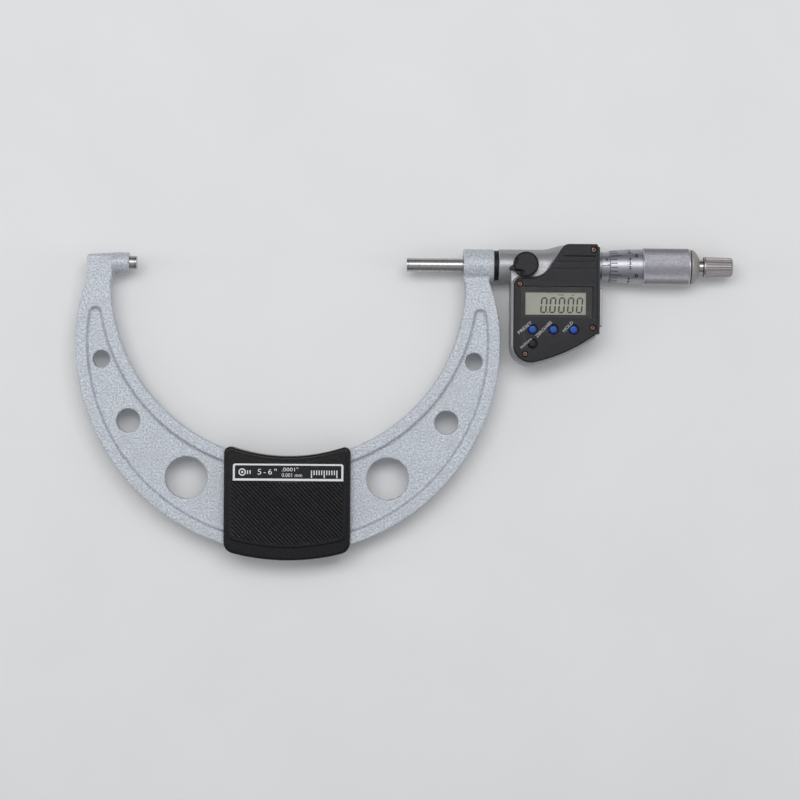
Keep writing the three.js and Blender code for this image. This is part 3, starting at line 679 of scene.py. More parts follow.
def stack(name, rings):
    """A closed solid through outlines of equal length, each given with its height."""
    count = len(rings[0][0])
    points = [(x, y, z) for outline, z in rings for x, y in outline]
    faces = [tuple(range(count)), tuple(range(len(points) - count, len(points)))]
    for k in range(len(rings) - 1):
        for i in range(count):
            j = (i + 1) % count
            low, high = k * count, (k + 1) * count
            faces.append((low + i, low + j, high + j, high + i))
    return make(name, points, faces)


def slab(name, outline, z0, z1, low=0.0, high=0.0, steps=4):
    """An outline extruded between two heights, its lower and upper edges rounded."""
    outline = distinct(outline)

    def edge(radius, z, direction):
        if not radius:
            return [(outline, z)]
        angles = [math.radians(90 * i / steps) for i in range(steps + 1)]
        return [
            (
                grown(outline, -radius * (1 - math.sin(a))) if i < steps else outline,
                z + direction * radius * (1 - math.cos(a)),
            )
            for i, a in enumerate(angles)
        ]

    return stack(name, edge(low, z0, 1) + edge(high, z1, -1)[::-1])


def prisms(name, pairs):
    """One mesh of closed solids, each between two rings of points."""
    points, faces = [], []
    for first, second in pairs:
        start, count = len(points), len(first)
        points += [*first, *second]
        faces.append(tuple(range(start, start + count)))
        faces.append(tuple(range(start + count, start + 2 * count)))
        for i in range(count):
            j = (i + 1) % count
            faces.append((start + i, start + j, start + count + j, start + count + i))
    return make(name, points, faces)


def bar_along_x(name, section, x0, x1):
    """A prism along X. Its section is a list of (y, z) points."""
    return prisms(name, [[[(x, y, z) for y, z in section] for x in (x0, x1)]])


def slabs(name, outlines, z0, z1):
    """Several plain prisms in one mesh."""
    return prisms(name, [[[(x, y, z) for x, y in outline] for z in (z0, z1)] for outline in outlines])


def place_on_axis(axis, at, along, u, v):
    """A point at a distance along the X or the Z axis through a point, and u, v beside it."""
    x, y, z = at
    if axis == "x":
        return (x + along, y + u, z + v)
    return (x + u, y + v, z + along)


def drum(name, rows, columns, axis="x", at=(0, 0, 0), closed=False):
    """A turned solid. Each row is (distance along the axis, radius), or (distance, one radius for
    each column, True) where the cells to the next row fold between high and low corners."""
    points, rings = [], []
    for along, radius, *_ in rows:
        if radius == 0:
            points.append(place_on_axis(axis, at, along, 0, 0))
            rings.append([len(points) - 1] * columns)
            continue
        start = len(points)
        for i in range(columns):
            angle = 2 * math.pi * i / columns
            r = radius[i] if isinstance(radius, list) else radius
            points.append(place_on_axis(axis, at, along, r * math.sin(angle), r * math.cos(angle)))
        rings.append(list(range(start, start + columns)))
    faces = []
    pairs = list(zip(range(len(rows)), rings, rings[1:] + ([rings[0]] if closed else [])))
    for k, ring, following in pairs:
        folded = len(rows[k]) > 2
        for i in range(columns):
            j = (i + 1) % columns
            corners = [ring[i], ring[j], following[j], following[i]]
            if folded and (k + i) % 2:
                faces += [(corners[0], corners[1], corners[2]), (corners[0], corners[2], corners[3])]
            elif folded:
                faces += [(corners[0], corners[1], corners[3]), (corners[1], corners[2], corners[3])]
            else:
                faces.append(tuple(dict.fromkeys(corners)))
    return make(name, points, [f for f in faces if len(f) > 2])


def revolve(name, profile, axis="x", at=(0, 0, 0), columns=96, width=0.0, segments=3, closed=False):
    """A profile of (distance along the axis, radius) turned about it, its corners bevelled."""
    obj = drum(name, profile, columns, axis, at, closed)
    return bevel(obj, width, segments) if width else obj


def rod(name, r, a, b, axis="x", at=(0, 0, 0), columns=64, width=0.0):
    return revolve(name, [(a, 0), (a, r), (b, r), (b, 0)], axis, at, columns, width)


def ring(name, inner, outer, a, b, axis="x", at=(0, 0, 0), columns=96, width=0.0):
    profile = [(a, inner), (a, outer), (b, outer), (b, inner)]
    return revolve(name, profile, axis, at, columns, width, closed=True)


def post(name, x, y, r, z0, z1, columns=48, width=0.0):
    return rod(name, r, z0, z1, "z", (x, y, 0), columns, width)


def box_solid(name, x0, x1, y0, y1, z0, z1, width=0.0):
    obj = slabs(name, [[(x0, y0), (x1, y0), (x1, y1), (x0, y1)]], z0, z1)
    return bevel(obj, width) if width else obj


def text_mesh(name, words, height, thick=0.02, bold=0.012, spacing=1.0):
    """Words as a mesh in the XY plane, centred, with capitals of this height in millimetres."""
    curve = bpy.data.curves.new(name, "FONT")
    curve.body = words
    curve.size = 1.0
    curve.extrude = 0.5
    curve.offset = bold
    curve.space_character = spacing
    curve.resolution_u = 3
    source = add(name, curve)
    bpy.context.view_layer.update()
    graph = bpy.context.evaluated_depsgraph_get()
    mesh = bpy.data.meshes.new_from_object(source.evaluated_get(graph))
    bpy.data.objects.remove(source)
    xs = [v.co.x for v in mesh.vertices]
    centre = Vector(((min(xs) + max(xs)) / 2, CAPITAL / 2, 0))
    scale = height / CAPITAL * MM
    for vertex in mesh.vertices:
        offset = vertex.co - centre
        vertex.co = Vector((offset.x * scale, offset.y * scale, offset.z * thick * MM))
    return add(name, mesh)


def lettering(words, height, start, end, z, bold=0.012, spacing=1.0):
    """Flat words facing up, stretched to run along their middle line from start to end."""
    obj = text_mesh("words", words, height, bold=bold, spacing=spacing)
    length = max(v.co.x for v in obj.data.vertices) * 2 / MM
    stretch = Matrix.Scale(math.dist(start, end) / length, 4, Vector((1, 0, 0)))
    spin = Matrix.Rotation(math.atan2(end[1] - start[1], end[0] - start[0]), 4, "Z")
    x, y = (start[0] + end[0]) / 2, (start[1] + end[1]) / 2
    obj.data.transform(Matrix.Translation(Vector((x, y, z)) * MM) @ spin @ stretch)
    return obj


def join(name, parts):
    """Several mesh objects as one, without a boolean."""
    work = bmesh.new()
    for part in parts:
        work.from_mesh(part.data)
        bpy.data.objects.remove(part)
    mesh = bpy.data.meshes.new(name)
    work.to_mesh(mesh)
    work.free()
    return add(name, mesh)


# ---- The bow and what is on it ----------------------------------------------------------------------


def end_angle(r, rise):
    return math.degrees(math.asin(rise / r))


def outer_edge(r, top, steps):
    """The bow's outer edge at this radius, from the left arm round to the right."""
    centre_y = OUTER_ARC[0]
    rise = top - centre_y
    if rise <= 0:
        end = end_angle(r, rise)
        return arc(BOW_X, centre_y, r, 180 - end, 360 + end, steps)
    arm_r = r - ARM_DX
    end = end_angle(arm_r, rise)
    return [
        *arc(BOW_X - ARM_DX, centre_y, arm_r, 180 - end, 180, 10)[:-1],
        *arc(BOW_X, centre_y, r, 180, 360, steps),
        *arc(BOW_X + ARM_DX, centre_y, arm_r, 0, end, 10)[1:],
    ]


def inner_edge(r, top, steps):
    end = end_angle(r, top - INNER_ARC[0])
    return arc(BOW_X, INNER_ARC[0], r, end, -180 - end, steps)


def web(grow):
    """Outline of the sunk web, each side moved out by grow."""
    outer_r = OUTER_ARC[1] - RIM_OUTER + grow
    inner_r = INNER_ARC[1] + RIM_INNER - grow
    outer_x = ARM_DX + math.sqrt((outer_r - ARM_DX) ** 2 - (RIM_END_Y - OUTER_ARC[0]) ** 2)
    inner_x = math.sqrt(inner_r**2 - (RIM_END_Y - INNER_ARC[0]) ** 2)
    end_x, end_r = (outer_x + inner_x) / 2, (outer_x - inner_x) / 2
    return [
        *outer_edge(outer_r, RIM_END_Y, 120),
        *arc(BOW_X + end_x, RIM_END_Y, end_r, 12, 168, 12),
        *inner_edge(inner_r, RIM_END_Y, 120),
        *arc(BOW_X - end_x, RIM_END_Y, end_r, 12, 168, 12),
    ]


def bow():
    """The cast bow with raised rims, sloped web walls, lightening holes and a boss on each arm."""
    outline = outer_edge(OUTER_ARC[1] + 0.1, -5, 140) + inner_edge(INNER_ARC[1] - 0.1, -5, 140)
    face = grown(outline, -CAST_DRAFT)
    body = stack("bow", [(face, -BOW_HALF), (outline, 0), (face, BOW_HALF)])
    for x0, x1, y1 in ((-ARM_END, -ARM_INNER, 3.1), (ARM_INNER, ARM_END, 0)):
        unite(body, box_solid("arm", BOW_X + x0, BOW_X + x1, -8, y1, -BOW_HALF, BOW_HALF))
    x0, (x1, r) = BOW_X - ARM_END, ANVIL_BOSS
    profile = [(x0, 0), (x0, r - 0.9), (-14.5, r - 0.3), (-9, r), (x1, r), (x1, 0)]
    boss = revolve("boss", profile)
    boss.data.transform(Matrix.Scale(BOW_HALF / r, 4, Vector((0, 0, 1))))
    unite(body, boss)
    unite(body, rod("boss", SPINDLE_BOSS[2], SPINDLE_BOSS[0], SPINDLE_BOSS[1]))
    for side in (-1, 1):
        walls = [(web(RIM_SLOPE * 1.6), side * (BOW_HALF + 1)), (web(-RIM_SLOPE), side * WEB_HALF)]
        cut(body, stack("web", walls))
    for side in (-1, 1):
        for dx, y, hole_r in WEB_HOLES:
            cut(body, post("hole", BOW_X + side * dx, y, hole_r, -8, 8, 96))
    soften(body, 0.4, 5)
    cut(body, rod("bore", FACE_R + 0.04, -18.2, 1))
    cut(body, rod("bore", BUSH_R + 0.04, SPINDLE_BOSS[0] - 1, SPINDLE_BOSS[1] + 1))
    for x, y in SHIELD_SCREWS:
        cut(body, post("hole", x, y, 3, -8, 8))
    dress(body, "frame", sharp=50, flat=False)


def anvil():
    """The fixed pin and its carbide tip."""
    tip = span("anvil_carbide_tip")[0].x
    dress(rod("anvil_pin", FACE_R, -18, tip - 0.02, columns=96, width=0.1), "anvil")
    dress(rod("anvil_tip", FACE_R, tip + 0.01, 0, width=0.12), "anvil_carbide_tip")


def shield_outline(inset, inner_r, outer_r, low, high):
    """A heat shield's outline: arcs below and above, and rounded corners at the sides."""
    half = SHIELD_HALF - inset
    outer_y, inner_y = OUTER_ARC[0], INNER_ARC[0]
    low_x, high_x = half - low, half - high
    low_y = outer_y - math.sqrt((outer_r - low) ** 2 - low_x**2)
    high_y = inner_y - math.sqrt((inner_r + high) ** 2 - high_x**2)
    side = math.degrees(math.asin(low_x / (outer_r - low)))
    top = math.degrees(math.asin(high_x / (inner_r + high)))
    return [
        *arc(SHIELD_X, outer_y, outer_r, 270 - side, 270 + side, 40),
        *arc(SHIELD_X + low_x, low_y, low, 270 + side, 360, 8),
        *arc(SHIELD_X + high_x, high_y, high, 0, 90 + top, 8),
        *arc(SHIELD_X, inner_y, inner_r, 270 + top, 270 - top, 40),
        *arc(SHIELD_X - high_x, high_y, high, 90 - top, 180, 8),
        *arc(SHIELD_X - low_x, low_y, low, 180, 270 - side, 8),
    ]


def diagonal_grooves(region, direction, depth):
    """V-shaped grooves at 45 degrees in the grip pad, clipped to a region."""
    points, faces = [], []
    z = FRONT_Z + 0.01
    half = GRIP_WIDTH / 2
    slope = Vector((direction, 1)).normalized()
    across = Vector((slope.y, -slope.x))
    count = int(GRIP_SPREAD / GRIP_PITCH)
    for k in range(-count, count + 1):
        middle_point = Vector(GRIP_MIDDLE) + across * (k * GRIP_PITCH)
        start = len(points)
        for end in (-GRIP_REACH, GRIP_REACH):
            for offset, height in ((-half, z), (half, z), (0, z - depth)):
                p = middle_point + slope * end + across * offset
                points.append((p.x, p.y, height))
            points.append(points[-3][:2] + (z + 1,))
            points.append(points[-3][:2] + (z + 1,))
        a = range(start, start + 5)
        b = range(start + 5, start + 10)
        loop = [0, 2, 1, 4, 3]
        faces.append(tuple(a[i] for i in loop))
        faces.append(tuple(b[i] for i in loop))
        for i, j in zip(loop, loop[1:] + loop[:1]):
            faces.append((a[i], a[j], b[j], b[i]))
    return combine(make("grooves", points, faces), [region], "INTERSECT")


def heat_shield(face):
    """One half of the heat shield: a rounded shell over the bow, with a raised grip pad."""
    inner_r, outer_r = INNER_ARC[1] - 1.8, OUTER_ARC[1] + 2.75
    outline = shield_outline(0, inner_r, outer_r, 5.5, 3.0)
    shell = slab("shell", outline, 0.1, 8.4, high=1.3, steps=6)
    pad_outline = shield_outline(2.1, inner_r + 2.5, outer_r - 6.2, 3.6, 2.2)
    unite(shell, slab("pad", pad_outline, 6, FRONT_Z, high=0.5))
    grip_outline = shield_outline(3.4, 94.6, outer_r - 7.5, 2.6, 0.6)
    for direction, depth in ((-1, 0.2), (1, 0.09)):
        region = slab("region", grip_outline, FRONT_Z - 1, FRONT_Z + 2)
        cut(shell, diagonal_grooves(region, direction, depth))
    pocket = outer_edge(OUTER_ARC[1] + 0.3, -60, 90) + inner_edge(INNER_ARC[1] - 0.3, -60, 90)
    cut(shell, slab("pocket", pocket, -1, BOW_HALF + 0.15))
    if face > 0:
        x0, x1, y0, y1 = LABEL_X0 - 0.1, LABEL_X1 + 0.1, LABEL_LOW - 0.1, LABEL_HIGH + 0.1
        cut(shell, slab("label_seat", rounded(x0, x1, y0, y1, 0.05, 1.1), FRONT_Z - 0.6, 12))
        for x, y in SHIELD_SCREWS:
            unite(shell, post("boss", x, y, 2.8, 0.2, 6))
            cut(shell, post("hole", x, y, 1.05, 0, 6))
        return shell
    shell.data.transform(Matrix.Diagonal((1, 1, -1, 1)))
    shell.data.flip_normals()
    for x, y in SHIELD_SCREWS:
        unite(shell, post("boss", x, y, 2.8, -6, -3.5))
        cut(shell, post("hole", x, y, 1.35, -11, -3))
        cut(shell, post("seat", x, y, 2.45, -11, -7.8))
    return shell


def heat_shields():
    dress(heat_shield(1), "front_heat_shield").name = "front_shield"
    dress(heat_shield(-1), "rear_heat_shield").name = "rear_shield"
    for name, (x, y) in zip(("left", "right"), SHIELD_SCREWS):
        head = [(-9.4, 0), (-9.4, 1.5), (-9.1, 2.2), (-7.9, 2.2), (-7.9, 1), (4, 1), (4, 0)]
        screw = revolve(f"shield_screw_{name}", head, "z", (x, y, 0), 64, 0.12)
        cut(screw, box_solid("slot", x - 3, x + 3, y - 0.28, y + 0.28, -10, -8.7))
        dress(screw, f"heat_shield_screw_{name}")


def range_label():
    """The printed label: its plate, border, range, resolution, and plain ornaments."""
    x0, x1, top = LABEL_X0, LABEL_X1, FRONT_Z - 0.15
    outline = rounded(x0, x1, LABEL_LOW, LABEL_HIGH, 0.05, 1.0)
    dress(slab("label_plate", outline, FRONT_Z - 0.6, top), "range_label")
    ink_low, ink_high = top - 0.02, top + 0.03
    border = slab("label_border", outline, ink_low, ink_high)
    inner = rounded(x0 + 0.95, x1 - 0.95, LABEL_LOW + 1.05, LABEL_HIGH - 0.8, 0.05, 0.35)
    cut(border, slab("inside", inner, top - 1, top + 1))
    mark = (x0 + 4.4, LABEL_HIGH - 4.0)
    parts = [
        border,
        ring("mark", 1.2, 1.75, ink_low, ink_high, "z", (*mark, 0), 48),
        post("mark", *mark, 0.55, ink_low, ink_high, 24),
    ]
    printed = [
        ("5-6\"", 2.75, 11.7, 20.7, 3.7, 1.3),
        (".0001\"", 1.85, 23.1, 30.9, 2.6, 1.0),
        ("0.001 mm", 1.85, 23.1, 32.7, 5.25, 1.0),
    ]
    for words, height, left, right, below, spacing in printed:
        y = LABEL_HIGH - below
        line = ((x0 + left, y), (x0 + right, y))
        parts.append(lettering(words, height, *line, top + 0.01, 0.0, spacing))
    bars = [(6.7, 3.1, 4.9, 0.5), (7.9, 3.1, 4.9, 0.5)]
    bars += [(36.9 + 1.2 * k, 3.0, 6.6 if k % 5 == 0 else 5.2, 0.5) for k in range(11)]
    outlines = []
    for left, above, below, width in bars:
        xa, xb = x0 + left, x0 + left + width
        outlines.append([(xa, LABEL_HIGH - below), (xb, LABEL_HIGH - below)])
        outlines[-1] += [(xb, LABEL_HIGH - above), (xa, LABEL_HIGH - above)]
    parts.append(slabs("bars", outlines, ink_low, ink_high))
    markings = join("label_markings", parts)
    print_on(markings, "range_label", WHITE_INK)


# ---- The case ------------------------------------------------------------------------------------


def circles_meet(a, ra, b, rb):
    """Where two circles meet, to the left of the line from the first to the second."""
    d = math.dist(a, b)
    along = (d**2 + ra**2 - rb**2) / (2 * d)
    aside = math.sqrt(ra**2 - along**2)
    ux, uy = (b[0] - a[0]) / d, (b[1] - a[1]) / d
    return (a[0] + ux * along - uy * aside, a[1] + uy * along + ux * aside)


def lower_edge(grow):
    """The long lower edge and rounded corner that the cover and the case share."""
    corner_x, corner_y, corner_r = CORNER
    end = (COVER_X1, -32.2)
    sweep = circles_meet((corner_x, corner_y), SWEEP_R - corner_r, end, SWEEP_R)
    start = math.degrees(math.atan2(end[1] - sweep[1], end[0] - sweep[0]))
    stop = math.degrees(math.atan2(corner_y - sweep[1], corner_x - sweep[0]))
    return [
        *arc(sweep[0], sweep[1], SWEEP_R + grow, start, stop, 36),
        *arc(corner_x, corner_y, corner_r + grow, stop, -180, 18)[1:],
    ]


def cover_outline():
    """The cover seen from the front, its upper left corner swept up to the thimble's side."""
    return [
        *arc(COVER_X0 + 3.6, -9.9, 3.6, 180, 90, 12),
        *arc(187.5, 3.7, 10, 270, 328.4, 20),
        *arc(205.6, CASE_R - 4.5, 4.5, 148.4, 90, 12),
        *arc(COVER_X1 - 1, CASE_R - 1, 1, 90, 0, 8),
        *lower_edge(0),
    ]


def case_outline(inset):
    """The pan below the tube, its sides moved in by inset."""
    right = CASE_X1 - inset
    edge = [p for p in lower_edge(CASE_RIM - inset) if p[0] < right - 0.3]
    return [(CASE_X0 + inset, -2), (right, -2), (right, -32.4 + inset), *edge]


def lip_width(point):
    """The case's raised edge is wide left of the cover and below it, and fades along its top."""
    if point[1] < -6.4:
        return CASE_RIM
    return 0.15 + (CASE_RIM - 0.15) * min(1, max(0, (192 - point[0]) / 9))


def housing():
    """The die-cast case: a tube round the spindle, a pan below it, and a lip beside the cover."""
    flare = []
    for i in range(17):
        share = i / 16
        rise = share * share * (3 - 2 * share)
        flare.append((FLARE_X + FLARE_LENGTH * share, NOSE_R + (CASE_R - NOSE_R) * rise))
    body = revolve("case", [(NOSE_X, 0), (NOSE_X, NOSE_R), *flare, (CASE_X1, CASE_R), (CASE_X1, 0)])
    unite(body, slab("pan", case_outline(0), REST_Z, RIM_Z, low=1.0))
    slope = [(-3, 5), (-3, RIM_Z), (-2, RIM_Z), (2.4, 7.3), (2.4, 5)]
    unite(body, bar_along_x("slope", slope, CASE_X0 + 0.8, 198))
    cover = distinct(cover_outline())
    lip = [(min(x, CASE_X1), min(y, CASE_R - 0.05)) for x, y in grown(cover, lip_width)]
    crest = [(min(x, CASE_X1), min(y, CASE_R - 0.05)) for x, y in grown(cover, 0.14)]
    unite(body, stack("lip", [(lip, 2), (lip, LIP_Z - 1.5), (crest, LIP_Z)]))
    unite(body, post("boss", CLAMP_X, 0, 5.4, 4, RIM_Z - 0.2))
    soften(body, 0.32, 4)
    cut(body, slab("seat", grown(cover, 0.14), RIM_Z, 12))
    cut(body, box_solid("seat", COVER_X1 - 1, 225, -50, 12, RIM_Z, 12))
    floor_z = REST_Z + 2
    pan = slab("inside", case_outline(2), floor_z, 12)
    cut(pan, box_solid("tube", 170, 225, -9.2, 5, -11, 13))
    chamber = rod("chamber", CHAMBER_R, CHAMBER_X0, CHAMBER_X1)
    well = box_solid("well", CHAMBER_X0, CHAMBER_X1, -12, -1, floor_z, 12)
    for hollow in (pan, chamber, well):
        cut(body, hollow)
    for x, y in COVER_SCREWS[1:]:
        unite(body, post("pillar", x, y, 2, floor_z - 0.5, RIM_Z))
    battery = middle("battery")
    unite(body, post("battery_wall", battery.x, battery.y, 8.6, floor_z - 1, -6.4, 64))
    cuts = [
        rod("bore", BUSH_R + 0.05, 170, 190.2),
        rod("bore", FACE_R + 0.3, 190, 199.5),
        rod("bore", SLEEVE_BORE, 213, 225),
        post("bore", CLAMP_X, 0, 1.6, 5, 12),
        post("bore", battery.x, battery.y, 6.25, -12, -6),
        post("bore", battery.x, battery.y, 7.55, -12, -8.6, 64),
        box_solid("slot", 216, 225, -24.5, -15.1, -3, 3),
    ]
    cuts += [post("hole", x, y, 0.9, 2.5, 12, 24) for x, y in COVER_SCREWS]
    cuts += [rod("hole", 0.75, 216.5, 225, at=(0, y, 0), columns=24) for y in (-27, -12.6)]
    for tool in cuts:
        cut(body, tool)
    dress(body, "housing", sharp=50, flat=False)


def front_cover():
    """The dark cover with its window, button wells, screw seats and grip grooves."""
    body = slab("cover", cover_outline(), COVER_BACK_Z, FRONT_Z, high=0.6, steps=5)
    flange = box_solid("flange", COVER_X1 - 1, CASE_X1 - 0.05, -32.6, 8.6, COVER_BACK_Z, 9.1, 0.15)
    unite(body, flange)
    x0, x1, y0, y1 = WINDOW
    cut(body, slab("opening", rounded(x0, x1, y0, y1, 1), 8, 11))
    for node in BUTTONS:
        x, y, _ = middle(node)
        well = [(8, 0), (8, 2.05), (8.9, 2.05), (8.9, 2.4), (9.85, 2.45), (10.1, 2.65), (10.1, 0)]
        cut(body, revolve("well", well, "z", (x, y, 0), 64))
    for x, y in COVER_SCREWS:
        seat = [(8, 0), (8, 0.95), (9.2, 0.95), (9.2, 1.42), (9.85, 1.46), (10.1, 1.65), (10.1, 0)]
        cut(body, revolve("seat", seat, "z", (x, y, 0), 48))
    for top, height, start in GROOVES:
        foot = top - height
        section = [(top, 10.5), (top, 9.6), (top - height * 0.4, 9.6), (foot, 10.01), (foot, 10.5)]
        cut(body, bar_along_x("groove", section, start, COVER_X1 - 1.1))
    dress(body, "front_cover", sharp=40)


def cover_details():
    """Screws, window, liquid crystal panel and legends."""
    for i, (x, y) in enumerate(COVER_SCREWS, 1):
        head = [(3, 0), (3, 0.8), (9.25, 0.8), (9.25, 1.3), (9.6, 1.3), (9.8, 1.0), (9.8, 0)]
        screw = revolve(f"cover_screw_head_{i}", head, "z", (x, y, 0), 48, 0.06)
        cut(screw, post("socket", x, y, 0.78, 9.2, 11, 6))
        dress(screw, f"cover_screw_{i}")
    x0, x1, y0, y1 = WINDOW
    sheet = rounded(x0 + 0.08, x1 - 0.08, y0 + 0.08, y1 - 0.08, 0.9)
    dress(slab("window_pane", sheet, 8.67, 9.75, 0.05, 0.15), "display_window")
    mask = slab("window_mask", sheet, 8.6, 8.64)
    cut(mask, slab("clear", rounded(*LCD_VIEW, 0.15), 8, 9))
    dress(mask, "display_window", material=MASK_INK, stands_for=False)
    low, high = span("lcd_panel")
    dress(box_solid("lcd_cell", low.x, high.x, low.y, high.y, low.z, high.z, 0.1), "lcd_panel")
    print_on(lcd_digits(high.z), "lcd_panel", LCD_INK)
    legends = []
    for node, words, height, start, end in LEGENDS:
        x, y, _ = middle(node)
        line = ((x + start[0], y + start[1]), (x + end[0], y + end[1]))
        legends.append(lettering(words, height, *line, FRONT_Z, 0.004))
    markings = join("button_legends", legends)
    print_on(markings, "front_cover", GREY_INK)


def segment(x0, y0, x1, y1, width):
    """One bar of a seven-segment digit, with pointed ends."""
    a, b = Vector((x0, y0)), Vector((x1, y1))
    along = (b - a).normalized()
    side = Vector((-along.y, along.x)) * width / 2
    tip = along * width / 2
    return [tuple(p) for p in (a, a + tip + side, b - tip + side, b, b - tip - side, a + tip - side)]


def lcd_digits(z):
    """Five slanted zeros with a point after the first, and two small captions."""
    left, bottom, width, height, pitch, slant = 192.1, -22.5, 2.35, 6.8, 4.23, 0.086
    bar, gap, half = 0.74, 0.1, 3.4
    bars = [
        (gap, 0, width - gap, 0),
        (gap, height, width - gap, height),
        (0, gap, 0, half - 0.2),
        (0, half + 0.2, 0, height - gap),
        (width, gap, width, half - 0.2),
        (width, half + 0.2, width, height - gap),
    ]
    outlines = []
    for k in range(5):
        for ends in bars:
            x = left + pitch * k
            outlines.append([(x + px + slant * py, bottom + py) for px, py in segment(*ends, bar)])
    dot_x = left + width + 0.95
    outlines.append(rounded(dot_x - 0.28, dot_x + 0.28, bottom - 0.28, bottom + 0.28, 0.05))
    digits = slabs("digits", outlines, z - 0.01, z + 0.02)
    captions = [
        lettering("INC", 0.75, (200.4, -14.15), (203.0, -14.15), z),
        lettering("in", 0.75, (206.7, -14.15), (208.0, -14.15), z),
    ]
    return join("lcd_digits", [digits, *captions])


def buttons():
    """The round keys, domed and with a collar that keeps them behind the cover."""
    for node in BUTTONS:
        x, y, _ = middle(node)
        top = span(node)[1].z
        r = BUTTON_R
        profile = [(6.5, 0), (6.5, 2.4), (7.3, 2.4), (7.3, r), (top - 0.55, r), (top - 0.25, r - 0.1)]
        profile += [(top - 0.08, r - 0.4), (top - 0.01, r - 0.9), (top - 0.04, 0.5), (top - 0.06, 0)]
        dress(revolve(f"{node}_cap", profile, "z", (x, y, 0), 64), node)


def clamp():
    """The clamp knob: a disc whose face is scooped away on both sides of a thumb rib."""
    low, top = RIM_Z + 0.1, CLAMP_TOP
    profile = [(low, 0), (low, CLAMP_R - 0.3), (low + 0.4, CLAMP_R), (top, CLAMP_R), (top, 0)]
    knob = revolve("clamp_knob", profile, "z", (CLAMP_X, 0, 0), 96, 0.7, 4)
    rib = [(x + CLAMP_X, y) for x, y in CLAMP_RIB]
    unite(knob, slab("rib", rib, low + 0.5, top, 0.2, 0.35))
    for level, rim in CLAMP_SCOOPS:
        floor_line = [(x + CLAMP_X, y) for x, y in level]
        rim_line = [(x + CLAMP_X, y) for x, y in rim]
        levels = [(floor_line, SCOOP_FLOOR), (rim_line, top + 0.1), (rim_line, top + 0.6)]
        cut(knob, stack("scoop", levels))
    cut(knob, ring("edge_groove", 5.3, 5.7, top - 0.35, top + 1, "z", (CLAMP_X, 0, 0), 96))
    soften(knob, 0.15, 4)
    cut(knob, post("bore", CLAMP_X, 0, 1.55, 6, 10.6))
    dress(knob, "clamp_lever", sharp=50, flat=False)


def port():
    """The output connector's blanking plate, on the case's right side."""
    low, high = span("port_cover")
    half_z, x0, x1 = high.z, low.x, high.x
    plate = slab("port_plate", rounded(-half_z, half_z, low.y, high.y, 0.9), x0, x1, 0.15, 0.4)
    turn(plate, "Y", 90)
    screws = (("lower", low.y + PORT_SCREW_INSET), ("upper", high.y - PORT_SCREW_INSET))
    for _, y in screws:
        cut(plate, rod("hole", 0.8, 219, 223, at=(0, y, 0), columns=32))
        cut(plate, rod("seat", 1.42, 221, 223, at=(0, y, 0), columns=48))
    dress(plate, "port_cover", sharp=40)
    for name, y in screws:
        head = [(217, 0), (217, 0.65), (221.05, 0.65), (221.05, 1.32)]
        head += [(221.4, 1.32), (221.52, 1.0), (221.52, 0)]
        screw = revolve(f"port_screw_{name}", head, "x", (0, y, 0), 48, 0.05)
        for angle in (30, 120):
            arm = box_solid("arm", 221.2, 223, y - 0.75, y + 0.75, -0.15, 0.15)
            cut(screw, turn(arm, "X", angle, (0, y, 0)))
        dress(screw, f"port_cover_screw_{name}")


def battery_cap():
    """The threaded cap on the case's back, with a coin slot and a grip edge."""
    x, y, _ = middle("battery_cap")
    rows = [(-6.8, 0), (-6.8, 6.1), (-8.98, 6.1), (-8.98, 7.3)]
    columns = 144
    notched = [7.3 - (0.28 if i % 6 < 2 else 0.0) for i in range(columns)]
    rows += [(-9.0, notched), (-9.55, notched), (-9.7, 6.8), (-9.7, 0)]
    cap = drum("battery_lid", rows, columns, "z", (x, y, 0))
    cut(cap, slab("coin", rounded(x - 5.6, x + 5.6, y - 0.75, y + 0.75, 0.7), -10, -8.9))
    dress(cap, "battery_cap", sharp=40)


# ---- Sleeve, thimble and ratchet ----------------------------------------------------------------


def on_barrel(x, angle, r):
    """A point on the measuring barrel, at an angle from straight up towards +Y."""
    a = math.radians(angle)
    return (x, r * math.sin(a), r * math.cos(a))


def barrel_mark(x0, x1, angle, low, high, r0, r1):
    """The two ends of a thin mark from x0 to x1, reaching from low to high across the angle."""
    corners = ((low, -SUNK), (high, -SUNK), (high, PROUD), (low, PROUD))
    return [
        [on_barrel(x, angle + math.degrees(reach / r), r + lift) for reach, lift in corners]
        for x, r in ((x0, r0), (x1, r1))
    ]


def barrel_number(words, height, x, angle, radius_at, stretch=1.0):
    """A number wrapped on the barrel, read along +X with its top towards +Y."""
    obj = text_mesh("number", words, height, 0.03, bold=0.04)
    for vertex in obj.data.vertices:
        u, v, w = (c / MM for c in vertex.co)
        along = x + u * stretch
        r = radius_at(along)
        vertex.co = Vector(on_barrel(along, angle + math.degrees(v / r), r + w)) * MM
    return obj


def sleeve():
    """The sleeve with its index line, and a scale whose long marks are numbered."""
    low, high = span("graduated_sleeve")
    r = high.z
    profile = [(low.x, SLEEVE_BORE), (low.x, 6.1), (low.x + 1.2, 6.1), (low.x + 1.2, r), (high.x, r)]
    body = revolve("sleeve", [*profile, (high.x, SLEEVE_BORE)], width=0.12, closed=True)
    dress(body, "graduated_sleeve")
    half = SLEEVE_LINE / 2
    marks = [barrel_mark(low.x + 1.3, high.x - 0.2, INDEX_ANGLE, -half, half, r, r)]
    numbers = []
    first = THIMBLE_X0 - 2.5 * SLEEVE_PITCH
    for k in range(41):
        x = first + SLEEVE_PITCH * k
        reach = (0, 0.75) if k % 4 else (-1.3, 1.3)
        marks.append(barrel_mark(x - half, x + half, INDEX_ANGLE, *reach, r, r))
        if k % 4 == 0:
            numbers.append(barrel_number(str(k // 4), 1.3, x, INDEX_ANGLE + 25, lambda _: r))
    scale = join("sleeve_scale", [prisms("marks", marks), *numbers])
    print_on(scale, "graduated_sleeve", SCALE_INK)


